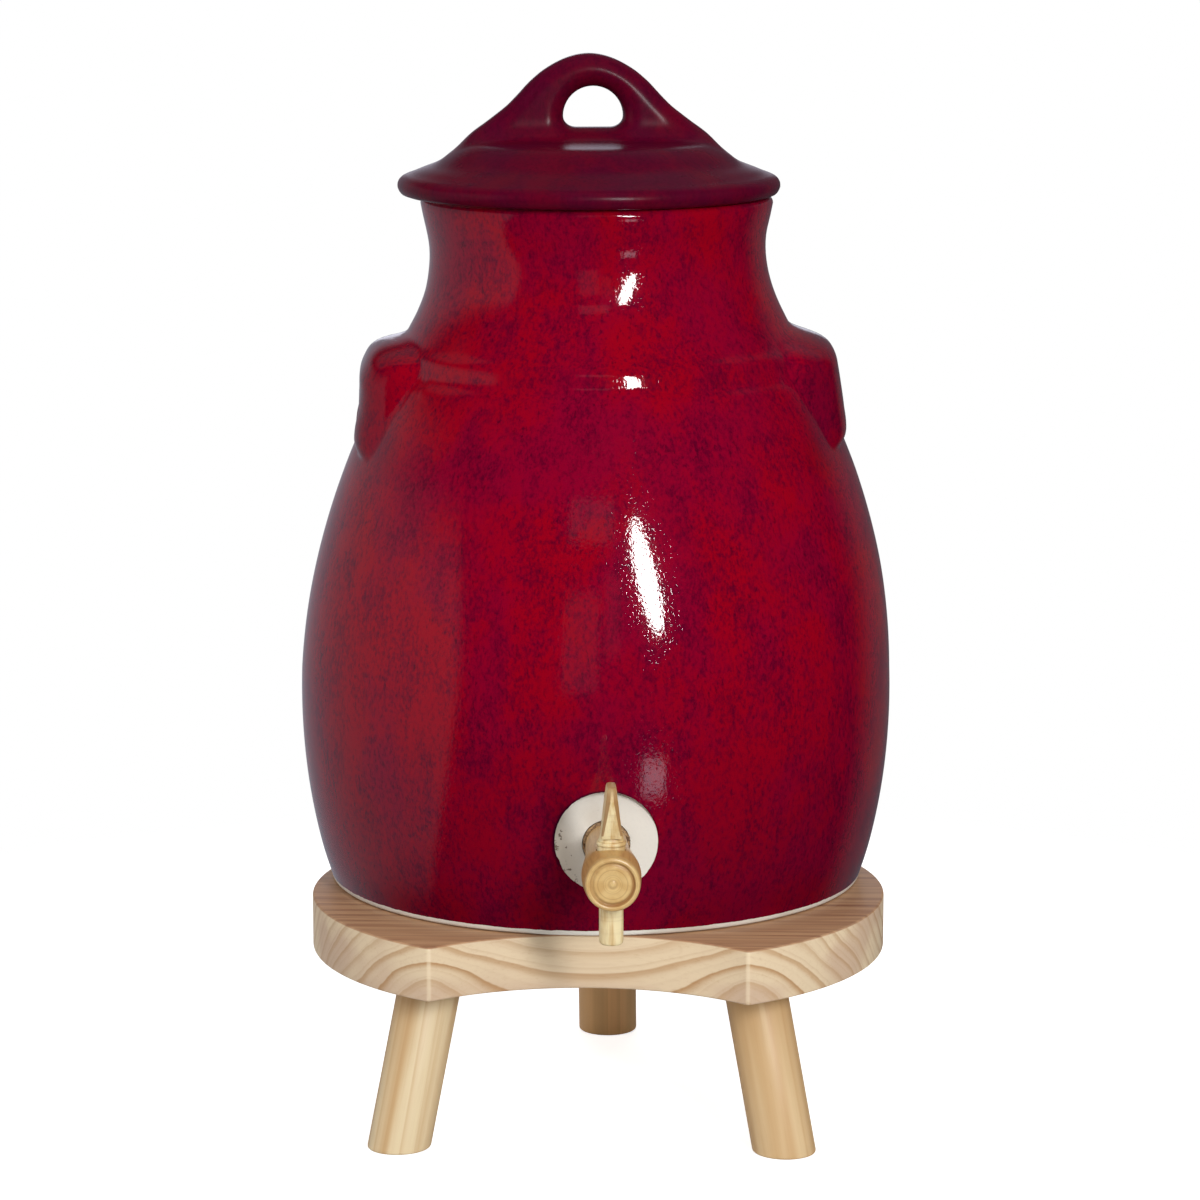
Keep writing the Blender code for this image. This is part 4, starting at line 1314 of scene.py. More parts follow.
@dataclass
class Lid:
    """The thrown lid with its flange and its arched grip. Heights are from the face on the rim."""

    radius: float = 70.7 * MM
    edge_thickness: float = 7.4 * MM
    top_radius: float = 44.0 * MM
    top_height: float = 20.0 * MM
    plateau: tuple[Point2, ...] = (  # shares of the top's radius, and how far it has dropped there
        (0.0, 0.0), (0.5, 0.0), (0.78, 0.15 * MM), (0.93, 0.45 * MM), (1.0, 0.95 * MM))
    wall: float = 6.8 * MM
    flange_radius: float = 52.0 * MM
    flange_wall: float = 6.0 * MM
    flange_depth: float = 10.5 * MM
    flange_rounding: float = 1.5 * MM
    slope_shares: tuple[Point2, ...] = (
        (0.085, 0.125), (0.17, 0.205), (0.26, 0.315), (0.34, 0.42), (0.41, 0.54), (0.50, 0.645),
        (0.65, 0.75), (0.83, 0.875), (0.96, 0.98))
    grip_length: float = 86.0 * MM
    grip_height: float = 31.7 * MM
    grip_thickness: float = 15.0 * MM
    grip_rounding: float = 6.6 * MM
    grip_shares: tuple[Point2, ...] = (
        (1.0, 0.02), (0.945, 0.12), (0.845, 0.24), (0.70, 0.39), (0.60, 0.53), (0.515, 0.66),
        (0.405, 0.79), (0.30, 0.88), (0.20, 0.945), (0.10, 0.985))
    grip_bed: float = 3.0 * MM
    grip_allowance: float = 2.0 * MM  # how much thinner its blank is before it is worked in
    hole_width: float = 22.0 * MM
    hole_floor: float = 4.0 * MM
    hole_height: float = 15.7 * MM
    hole_aside: float = 1.5 * MM
    fillet: float = 9.0 * MM
    blur: float = 1.6 * MM
    outline_step: float = 1.0 * MM
    voxel: float = 0.85 * MM
    # The bare clay's edges, from the size that each follows
    under_edge: Point2 = (0.05 * MM, 0.50 * MM)
    seat_edge: Point2 = (-8.5 * MM, -8.0 * MM)
    flange_edge: Point2 = (-1.0 * MM, 0.0)
    glaze: Glaze = field(default_factory=lambda: Glaze(
        "lid_glaze_dark_red", red=(0.108, 0.0008, 0.0120), crimson=(0.080, 0.0010, 0.0160),
        deep=(0.040, 0.0006, 0.0080), speck=(0.024, 0.0010, 0.0050), specks=0.30, mottle=0.45,
        patch_size=22 * MM, peel_height=0.010 * MM, pit_depth=0.006 * MM, roughness=0.27, ior=1.20))

    def profile(self) -> list[Point2]:
        """The turned outline.

        Returns:
            (radius, height) points, from the middle of the top round to the middle underneath.
        """
        half = self.edge_thickness / 2
        top = (self.top_radius, self.top_height)
        edge = (self.radius - half, self.edge_thickness)
        slope = [*((top[0] * share, top[1] - drop) for share, drop in self.plateau),
                 *between(top, edge, self.slope_shares), *arc((edge[0], half), half, 78, -60, 12)]
        eased = smooth_line(through(slope, 8), self.blur)
        inside = self.flange_radius - self.flange_wall
        low = self.flange_rounding - self.flange_depth
        under = (self.top_radius - self.wall, self.top_height - self.wall)
        points = [tuple(point) for point in eased[::6]]
        return [*points, (edge[0], 0), (self.flange_radius, 0),
                *arc((self.flange_radius - self.flange_rounding, low), self.flange_rounding, 0, -90, 5),
                *arc((inside + self.flange_rounding, low), self.flange_rounding, -90, -180, 5),
                (inside, half), under, (0, under[1])]

    def grip_outline(self) -> np.ndarray:
        """The grip seen from the front, eased.

        Returns:
            (distance to the right, height) points.
        """
        half = self.grip_length / 2
        foot = self.top_height - self.grip_bed
        side = [(half * a, self.top_height + self.grip_height * b) for a, b in self.grip_shares]
        points = [(half, foot), *side, (0, self.top_height + self.grip_height),
                  *[(-x, z) for x, z in reversed(side)], (-half, foot)]
        return smooth_line(points, self.blur, self.outline_step, closed=True)

    def hole_outline(self) -> np.ndarray:
        """The finger hole: a flat floor with round corners under a round arch.

        Returns:
            (distance to the right, height) points.
        """
        radius = self.hole_width / 2
        low = self.top_height + self.hole_floor
        spring = low + self.hole_height - radius
        corner = min(radius / 2, spring - low)
        right = [*arc((radius - corner, low + corner), corner, -90, 0, 6),
                 *arc((0, spring), radius, 0, 90, 12)]
        left = [(-x, z) for x, z in reversed(right[:-1])]
        return np.array([(x + self.hole_aside, z) for x, z in right + left])

    def build(self, name: str) -> bpy.types.Object:
        """Makes the lid about its own axis.

        Args:
            name: The piece's name.

        Returns:
            The lid.
        """
        profile = self.profile()
        lid = turned(name, profile, 144)
        outline, hole = self.grip_outline(), self.hole_outline()
        thickness = self.grip_thickness - self.grip_allowance
        combine(lid, flat_plate("grip", [outline, hole], thickness, 0.0, DOWN_FORWARD), Cut.UNION)
        remesh = lid.modifiers.new("even", "REMESH")
        remesh.mode = "VOXEL"
        remesh.voxel_size = self.voxel
        apply_modifiers(lid)
        turned_outline = np.array(profile[1:-1], float)
        section = np.vstack([turned_outline, turned_outline[::-1] * (-1, 1)])
        fields = [OutlineField(line) for line in (section, outline, hole)]
        self._settle(lid.data, lambda points: self._distance(points, *fields))
        lid.data.shade_smooth()
        return lid

    def _distance(self, points: np.ndarray, section: OutlineField, outline: OutlineField,
                  hole: OutlineField) -> np.ndarray:
        """Signed distance to the lid with its grip worked in.

        Args:
            points: Where it is read.
            section: The turned body's full section.
            outline: The grip's outline.
            hole: The hole's outline.

        Returns:
            The distances, negative inside.
        """
        x, y, z = points.T
        body = section.at(np.hypot(x, y), z)
        flat = np.maximum(outline.at(x, z), -hole.at(x, z))
        grip = rounded_edge(flat, np.abs(y) - self.grip_thickness / 2, self.grip_rounding)
        return soft_minimum(body, grip, self.fillet)

    @staticmethod
    def _settle(mesh: bpy.types.Mesh, distance: Callable[[np.ndarray], np.ndarray]) -> None:
        """Moves a mesh's points onto the surface where a distance is 0, and evens them out.

        Args:
            mesh: The mesh, already near that surface.
            distance: The signed distance.
        """
        count = len(mesh.vertices)
        points = np.empty(count * 3)
        mesh.vertices.foreach_get("co", points)
        points = points.reshape(-1, 3)
        edges = np.empty(len(mesh.edges) * 2, dtype=np.int32)
        mesh.edges.foreach_get("vertices", edges)
        edges = edges.reshape(-1, 2)
        degree = np.bincount(edges.ravel(), minlength=count)[:, None]
        rounds, easings, step = 4, 3, 0.05 * MM
        for _ in range(rounds):
            for _ in range(easings):
                total = np.zeros_like(points)
                np.add.at(total, edges[:, 0], points[edges[:, 1]])
                np.add.at(total, edges[:, 1], points[edges[:, 0]])
                points = points + (total / degree - points) * 0.5
            here = distance(points)
            slope = np.stack([(distance(points + np.eye(3)[i] * step) - here) / step for i in range(3)],
                             axis=1)
            size = np.maximum((slope ** 2).sum(axis=1, keepdims=True), 0.25)
            points = points - here[:, None] * slope / size
        mesh.vertices.foreach_set("co", points.ravel())
        mesh.update()

    def bare_where(self, shader: Shader, place: Wire) -> Wire:
        """The mask of bare clay: the seat on the rim and the flange.

        Args:
            shader: The tree.
            place: The surface point in the lid's own frame.

        Returns:
            1 where the clay is bare.
        """
        x, y, z = shader.parts_of(place)
        radius = x.hypotenuse(y)
        under = 1 - z.smooth(*self.under_edge)
        within = 1 - radius.smooth(*band(self.radius, self.seat_edge))
        outside = radius.smooth(*band(self.flange_radius - self.flange_wall, self.flange_edge))
        return under * within * outside

    def dress(self) -> bpy.types.Material:
        """Its glaze over bare stoneware."""
        return GlazedPot(self.glaze).make(self.bare_where)


def flat_plate(name: str, outlines: Sequence[np.ndarray], thickness: float, rounding: float,
               turn: Matrix) -> bpy.types.Object:
    """A flat outline, with any holes, as a plate with rounded edges.

    Args:
        name: The plate's name.
        outlines: The outline, and its holes.
        thickness: Its thickness, half on each side of its own XY plane.
        rounding: The radius of its edges.
        turn: How it is turned once made.

    Returns:
        The plate.
    """
    data = bpy.data.curves.new(name, "CURVE")
    data.dimensions = "2D"
    data.fill_mode = "BOTH"
    data.extrude = thickness / 2 - rounding
    data.bevel_depth = rounding
    data.bevel_resolution = 3
    data.offset = -rounding
    for outline in outlines:
        spline = data.splines.new("POLY")
        spline.points.add(len(outline) - 1)
        for target, (x, y) in zip(spline.points, outline):
            target.co = (x, y, 0, 1)
        spline.use_cyclic_u = True
    curve = add_object(name, data)
    bpy.context.view_layer.update()
    mesh = bpy.data.meshes.new_from_object(curve.evaluated_get(bpy.context.evaluated_depsgraph_get()))
    mesh.transform(turn)
    bpy.data.objects.remove(curve)
    bpy.data.curves.remove(data)
    return tidy(add_object(name, mesh))


@dataclass
class Tap:
    """The wooden tap: a cork, a turned barrel and the key that turns in it.

    Distances along the barrel run forward from the boss's face.
    """

    drop: float = 0.8 * MM  # its axis lies this far below the boss's centre
    cork_radius: float = 8.3 * MM
    cork_proud: float = 1.4 * MM
    cork_depth: float = 19.0 * MM
    cork_taper: float = 0.7 * MM
    shank_radius: float = 5.2 * MM
    shank_past_cork: float = 6.0 * MM
    length: float = 60.0 * MM
    radius: float = 10.3 * MM
    front_radius: float = 9.45 * MM
    groove_radius: float = 7.15 * MM
    collar_radius: float = 7.4 * MM
    bore_radius: float = 2.4 * MM
    key_behind_front: float = 14.0 * MM
    swelling_shares: tuple[Point2, ...] = (
        (0.0, 0.0), (0.06, 0.15), (0.20, 0.40), (0.48, 0.65), (0.82, 0.85), (1.0, 1.0))
    swelling_blur: float = 1.2 * MM
    full_length: float = 2.0 * MM  # how far it keeps its full radius in front of the key
    shoulder_mm: Point2 = (0.35, 3.2)  # where it narrows: outside the front's radius, and behind the front
    # The front's outline from its side to its middle, as (radius, distance behind the front) in mm
    front_mm: tuple[Point2, ...] = (
        (9.45, 1.3), (9.45, 0.9), (9.1, 0.25), (8.35, 0.0), (7.75, 0.25), (7.25, 0.95), (6.7, 0.85),
        (6.2, 0.45), (4.5, 0.4), (2.4, 0.55), (1.3, 0.6), (0.8, 0.2), (0.0, 0.12))
    front_blur: float = 0.16 * MM
    front_step: float = 0.1 * MM
    corner_cut: float = 0.4 * MM
    plug_radius: float = 4.9 * MM
    spout_radius: float = 4.2 * MM
    spout_drop: float = 24.2 * MM
    spout_bore: float = 2.2 * MM
    spout_rounding: float = 1.2 * MM
    port_radius: float = 2.1 * MM
    bead_radius: float = 5.2 * MM
    bead_height: float = 1.6 * MM
    neck_radius: float = 3.7 * MM
    neck_height: float = 3.1 * MM
    # The turned collar at the neck's foot, as (distance outside the neck, height above the bead) in mm
    neck_foot_mm: tuple[Point2, ...] = ((0.4, 1.4), (0.85, 0.35), (0.87, 0.1), (0.7, -0.12))
    neck_top_mm: Point2 = (0.2, 0.25)  # how its top corner is cut
    paddle_height: float = 16.2 * MM
    paddle_easing: float = 0.18 * MM
    paddle_crease: float = math.radians(20)
    # The paddle's sections: height share, then its half thickness, half width and chamfer in mm
    paddle_sections_mm: tuple[tuple[float, float, float, float], ...] = (
        (0.00, 3.75, 5.20, 0.60), (0.12, 3.50, 5.70, 0.80), (0.45, 2.75, 6.80, 1.15),
        (0.76, 2.10, 7.80, 1.50), (0.94, 1.70, 6.40, 1.45), (1.00, 1.35, 5.50, 1.15))
    crumble: Point2 = (0.75 * MM, 0.45 * MM)  # how far the cork's front edge is broken, sideways and back
    sides: int = 96
    cork_sides: int = 180
    cork_crease: float = math.radians(60)  # edges sharper than this stay sharp
    key_crease: float = math.radians(28)
    hole_sides: int = 32
    socket_sides: int = 64
    barrel_wood: Boxwood = Boxwood("boxwood_barrel", pale=(0.70, 0.49, 0.215), honey=(0.56, 0.33, 0.115))
    key_wood: Boxwood = Boxwood("boxwood_key", pale=(0.87, 0.74, 0.44))
    overrun: float = 1.0 * MM
    socket_overrun: float = 6.0 * MM
    front_depth: float = 3.0 * MM  # how much of the barrel's end has the front's finish
    plain_neck: float = 4.4 * MM  # how far above the barrel the key isn't browned by wax and painted shade

    def cork_radius_at(self, forward: float) -> float:
        """The cork's radius at a distance in front of the boss's face."""
        return self.cork_radius - self.cork_taper * (self.cork_proud - forward) / (
            self.cork_proud + self.cork_depth)

    def build_cork(self, name: str) -> bpy.types.Object:
        """Makes the cork about Z, with a broken front edge.

        Args:
            name: The piece's name.

        Returns:
            The cork.
        """
        hole = self.shank_radius + CLEARANCE
        front = self.cork_proud
        back = -self.cork_depth
        rows = [(hole, back), (self.cork_radius_at(back), back), (self.cork_radius_at(-MM), -MM)]
        rows += [(self.cork_radius_at(0), front * i / 5) for i in range(6)]
        rows += [(hole + (self.cork_radius - hole) * share, front) for share in (0.8, 0.55, 0.3, 0.0)]
        line = np.array(rows)
        angles = np.arange(self.cork_sides) * 2 * math.pi / self.cork_sides
        random = np.random.default_rng(7)
        waves = sum(random.uniform(0.3, 1.0) * np.sin(k * angles + random.uniform(0, 6.3))
                    for k in (2, 3, 5, 8, 13, 21, 34)) / 3
        crumbs = np.repeat(random.uniform(-1, 1, self.cork_sides // 3), 3)
        broken = np.clip(waves * 0.45 + crumbs * 0.35, -1, 1)
        radius = np.repeat(line[:, :1], self.cork_sides, axis=1)
        height = np.repeat(line[:, 1:], self.cork_sides, axis=1)
        loose = np.clip(line[:, 1:] / front, 0, 1) * (line[:, :1] > hole)
        sideways, back_by = self.crumble
        radius = radius + broken * loose * sideways * (radius - hole) / (self.cork_radius - hole)
        height = height - random.uniform(0, 1, height.shape) * loose * back_by
        grid = np.stack([radius * np.cos(angles), radius * np.sin(angles), height], axis=2)
        return tidy(from_grid(name, grid, ring=True), self.cork_crease)

    def build_barrel(self, name: str) -> bpy.types.Object:
        """Makes the barrel about Z, with its front upwards.

        Args:
            name: The piece's name.

        Returns:
            The barrel.
        """
        collar = self.cork_proud + CLEARANCE
        back = -self.cork_depth - self.shank_past_cork
        end = self.length
        forward = end - self.key_behind_front
        swelling = between((self.collar_radius, collar), (self.radius, forward), self.swelling_shares)
        face = [(out * MM, end - behind * MM) for out, behind in self.front_mm]
        outside, behind = self.shoulder_mm
        side = smooth_line([*swelling, (self.radius, forward + self.full_length),
                            (self.front_radius + outside * MM, end - behind * MM), face[0]],
                           self.swelling_blur)[::3]
        front = smooth_line(face, self.front_blur, self.front_step)
        cut = self.corner_cut
        profile = [(0, back), (self.shank_radius - cut, back), (self.shank_radius, back + cut),
                   (self.shank_radius, collar), (self.collar_radius - cut, collar),
                   *side, *front[1:-1], face[-1]]
        barrel = turned(name, profile, self.sides)
        bore = cylinder(self.bore_radius, back - self.overrun, forward, Matrix(), self.hole_sides)
        combine(barrel, bore, Cut.DIFFERENCE)
        reach = self.radius + self.socket_overrun
        slope = (self.plug_radius - self.spout_radius) / (self.radius * 2)
        middle = (self.plug_radius + self.spout_radius) / 2 + CLEARANCE
        across = Matrix.Translation((0, 0, forward)) @ Matrix.Rotation(math.radians(-90), 4, "X")
        socket = cylinder(middle - slope * reach, -reach, reach, across, self.socket_sides,
                          middle + slope * reach)
        return tidy(combine(barrel, socket, Cut.DIFFERENCE))

    def build_key(self, name: str) -> bpy.types.Object:
        """Makes the key about its turning axis, with heights from the barrel's axis.

        Args:
            name: The piece's name.

        Returns:
            The key.
        """
        seat = self.radius + CLEARANCE
        bead_top = seat + self.bead_height
        neck_top = bead_top + self.neck_height
        end = -self.spout_drop
        half = self.bead_height / 2
        across, down = (size * MM for size in self.neck_top_mm)
        rounding = self.spout_rounding
        profile = [(0, neck_top), (self.neck_radius - across, neck_top), (self.neck_radius, neck_top - down),
                   *((self.neck_radius + out * MM, bead_top + up * MM) for out, up in self.neck_foot_mm),
                   *arc((self.bead_radius - half, seat + half), half, 62, -90, 8),
                   (self.plug_radius, seat), (self.spout_radius, -self.radius),
                   *arc((self.spout_radius - rounding, end + rounding), rounding, 0, -90, 6), (0, end)]
        key = turned(name, profile, self.sides)
        combine(key, self._paddle(neck_top - self.neck_height / 2, neck_top + self.paddle_height), Cut.UNION)
        bore = cylinder(self.spout_bore, end - self.overrun, self.port_radius, Matrix(), self.hole_sides)
        combine(key, bore, Cut.DIFFERENCE)
        sideways = Matrix.Rotation(math.radians(90), 4, "Y")
        port = cylinder(self.port_radius, 0, self.plug_radius + self.overrun * 2, sideways, self.hole_sides)
        return tidy(combine(key, port, Cut.DIFFERENCE), self.key_crease)

    def _paddle(self, low: float, high: float) -> bpy.types.Object:
        """The key's flat grip, lofted through its sections.

        Args:
            low: The height of its foot.
            high: The height of its tip.

        Returns:
            The paddle.
        """
        rows = []
        for share, *sizes in self.paddle_sections_mm:
            x, y, cut = (size * MM for size in sizes)
            level = low + (high - low) * share
            ring = [(x - cut, y), (x, y - cut), (x, cut - y), (x - cut, -y),
                    (cut - x, -y), (-x, cut - y), (-x, y - cut), (cut - x, y)]
            rows.append([(px, py, level) for px, py in ring])
        foot = [(0, 0, low)] * 8
        tip = [(0, 0, high)] * 8
        paddle = tidy(from_grid("paddle", np.array([foot, *rows, tip], float)))
        bevel = paddle.modifiers.new("ease", "BEVEL")
        bevel.width = self.paddle_easing
        bevel.segments = 2
        bevel.limit_method = "ANGLE"
        bevel.angle_limit = self.paddle_crease
        return apply_modifiers(paddle)

    def dress_barrel(self) -> bpy.types.Material:
        """Its boxwood, with the turner's rings on the front."""
        wood = replace(self.barrel_wood, end_height=self.length - self.front_depth)
        return wood.make_turned_end(self.groove_radius, self.front_radius)

    def dress_key(self) -> bpy.types.Material:
        """Its boxwood, browned on the paddle's slanted and upward faces by wax and painted shade."""
        return replace(self.key_wood, end_height=self.radius + self.plain_neck).make()


@dataclass
class Stand:
    """The pine seat with its notch, and its three splayed legs."""

    radius: float = 106.0 * MM
    thickness: float = 19.8 * MM
    easing: float = 0.9 * MM
    corner_blur: float = 0.75 * MM
    notch_radius: float = 85.5 * MM
    notch_centre: float = 154.3 * MM
    leg_radius: float = 11.3 * MM
    leg_splay: float = math.radians(14.3)
    leg_easing: float = 0.9 * MM
    socket_roof: float = 5.0 * MM
    outline_step: float = 0.5 * MM
    corner_reach: float = 4.0 * MM  # how near a corner the outline keeps all its points
    seat_crease: float = math.radians(30)  # edges sharper than this stay sharp
    leg_crease: float = math.radians(45)
    sides: int = 72
    board: Pine = Pine("pine_seat_board", along=(0.05, 1.0, 1.0), ring_normal=(0.0, 0.7071, 0.7071),
                       ring_spacing=6.2 * MM, lines=0.85, top_height=-0.7 * MM)
    dowel: Pine = Pine("pine_leg", along=(1.0, 1.0, 0.04), ring_normal=(0.8, 0.6, 0.0),
                       ring_spacing=4.2 * MM, late=(0.52, 0.30, 0.125), rose=(0.55, 0.34, 0.155),
                       flush=0.75, flush_size=11 * MM, lines=0.6, gloss=0.50)
    # Each leg's cream; the back leg's darker, browner cream is painted shade under the seat
    leg_creams_with_shade: dict[LegPlace, Colour] = field(default_factory=lambda: {
        LegPlace.FRONT_LEFT: (0.74, 0.60, 0.38), LegPlace.FRONT_RIGHT: (0.69, 0.51, 0.29),
        LegPlace.BACK: (0.74, 0.44, 0.20)})

    def corners(self) -> tuple[Point2, Point2]:
        """Finds where the notch meets the disc.

        Returns:
            The left and the right corner.
        """
        squares = self.radius ** 2 - self.notch_radius ** 2 + self.notch_centre ** 2
        ahead = squares / (self.notch_centre * 2)
        aside = math.sqrt(self.radius ** 2 - ahead ** 2)
        return (-aside, -ahead), (aside, -ahead)

    def outline(self) -> np.ndarray:
        """The disc with a shallow arc cut out of its front, its corners eased.

        Returns:
            The outline's points.
        """
        aside, ahead = self.corners()[1]
        ahead = -ahead
        first = math.atan2(-ahead, aside)
        disc = np.linspace(first, math.pi - first, 260)
        start = math.atan2(self.notch_centre - ahead, -aside)
        notch = np.linspace(start, math.pi - start, 60)[1:-1]
        points = [(self.radius * math.cos(a), self.radius * math.sin(a)) for a in disc]
        points += [(self.notch_radius * math.cos(a), self.notch_radius * math.sin(a) - self.notch_centre)
                   for a in notch]
        line = smooth_line(points, self.corner_blur, self.outline_step, closed=True)
        keep = np.ones(len(line), bool)
        ends = np.array([points[0], points[len(disc) - 1]])
        far = np.linalg.norm(line[:, None] - ends, axis=2).min(axis=1) > self.corner_reach
        keep[far] = np.arange(len(line))[far] % 5 == 0
        return line[keep]

    def socket_top(self, height: float) -> float:
        """How far up a leg's own axis its socket ends, under a seat of this height."""
        drop = self.socket_roof + self.leg_radius * math.sin(self.leg_splay)
        return (height - drop) / math.cos(self.leg_splay)

    def build_seat(self, name: str, place: Matrix, legs: Sequence[Matrix]) -> bpy.types.Object:
        """Makes the seat.

        Args:
            name: The piece's name.
            place: The frame of the middle of its top.
            legs: The frames of the legs' feet.

        Returns:
            The seat, in its place.
        """
        lowered = Matrix.Translation((0, 0, -self.thickness / 2))
        seat = flat_plate(name, [self.outline()], self.thickness, self.easing, lowered)
        seat.matrix_world = place
        top = self.socket_top(place.translation.z)
        for leg in legs:
            combine(seat, cylinder(self.leg_radius + CLEARANCE, 0, top, leg), Cut.DIFFERENCE)
        shade(seat, self.seat_crease)
        return seat

    def build_leg(self, name: str, height: float, place: Matrix) -> bpy.types.Object:
        """Makes a leg about its own axis, cut level at the floor.

        Args:
            name: The piece's name.
            height: The height of the seat's top.
            place: The frame of its foot.

        Returns:
            The leg, in its place.
        """
        top = self.socket_top(height) - CLEARANCE
        radius, ease = self.leg_radius, self.leg_easing
        profile = [(0, -radius), (radius, -radius), (radius, top - ease), (radius - ease, top), (0, top)]
        leg = turned(name, profile, self.sides)
        bm = bmesh.new()
        bm.from_mesh(leg.data)
        floor = place.to_3x3().inverted() @ Vector((0, 0, 1))
        cut = bmesh.ops.bisect_plane(bm, geom=[*bm.verts, *bm.edges, *bm.faces], plane_co=(0, 0, 0),
                                     plane_no=floor, clear_inner=True)
        edges = [item for item in cut["geom_cut"] if isinstance(item, bmesh.types.BMEdge)]
        face = bmesh.ops.contextual_create(bm, geom=edges)["faces"]
        rim = {edge for made in face for edge in made.edges}
        bmesh.ops.bevel(bm, geom=list(rim), offset=ease, segments=3, profile=0.5, affect="EDGES")
        bm.to_mesh(leg.data)
        bm.free()
        leg.matrix_world = place
        return tidy(leg, self.leg_crease)

    def dress_seat(self) -> bpy.types.Material:
        """Its pine, with a painted highlight on the edges where the notch meets the disc."""
        return replace(self.board, highlit_corners=self.corners()).make()

    def dress_leg(self, place: LegPlace) -> bpy.types.Material:
        """Its pine, each leg of its own cream, the back leg's darkened as painted shade."""
        return replace(self.dowel, name=f"pine_{place.value}_leg", cream=self.leg_creams_with_shade[place]).make()


class LampShape(Enum):
    """The outlines of the lamps."""

    PANEL = "RECTANGLE"
    OVAL = "ELLIPSE"


@dataclass(frozen=True)
class Lamp:
    """A soft light round the crock, at angles from the camera's direction as the crock sees it."""

    name: str
    azimuth: float
    elevation: float
    width: float
    height: float
    level: float  # the light on a surface that faces it, where 1 shows a colour as it is written
    roll: float = 0.0
    shape: LampShape = LampShape.PANEL
    in_gloss: bool = False
    distance: float = 1.6

    def light(self, target: Vector, front: Vector) -> None:
        """Hangs the light.

        Args:
            target: The point that it faces.
            front: The level direction from the crock to the camera.
        """
        turned_by = Matrix.Rotation(math.radians(self.azimuth), 3, "Z") @ front
        level, up = math.cos(math.radians(self.elevation)), math.sin(math.radians(self.elevation))
        away = Vector((turned_by.x * level, turned_by.y * level, up))
        data = bpy.data.lights.new(self.name, "AREA")
        data.shape = self.shape.value
        data.size = self.width
        data.size_y = self.height
        data.energy = self.level * (math.pi * self.distance) ** 2
        lamp = add_object(self.name, data)
        lamp.location = target + away * self.distance
        lamp.rotation_mode = "QUATERNION"
        roll = Quaternion((0, 0, 1), math.radians(self.roll))
        lamp.rotation_quaternion = away.to_track_quat("Z", "Y") @ roll
        lamp.visible_camera = False
        lamp.visible_glossy = self.in_gloss


@dataclass(frozen=True)
class Pane:
    """A bright part of the room that the gloss shows, between angles seen from the crock."""

    azimuths: Point2
    elevations: Point2
    radiance: float
    blur: float = 1.0  # how softly its sides end, in degrees
    fade: float = 1.0  # how softly its top and bottom end
    bow: float = 0.0  # how its right edge bends to the left above and below, per degree squared

    def add_to(self, azimuth: Wire, elevation: Wire) -> Wire:
        """Its light in a direction.

        Args:
            azimuth: The direction's azimuth, in degrees from the camera's, to the right.
            elevation: The direction's elevation.

        Returns:
            The radiance.
        """
        (left, right), (low, high) = self.azimuths, self.elevations
        inside = azimuth.smooth(left - self.blur, left + self.blur)
        bent = azimuth + elevation * elevation * self.bow
        inside = inside * (1 - bent.smooth(right - self.blur, right + self.blur))
        inside = inside * elevation.smooth(low - self.fade, low + self.fade)
        return inside * (1 - elevation.smooth(high - self.fade, high + self.fade)) * self.radiance


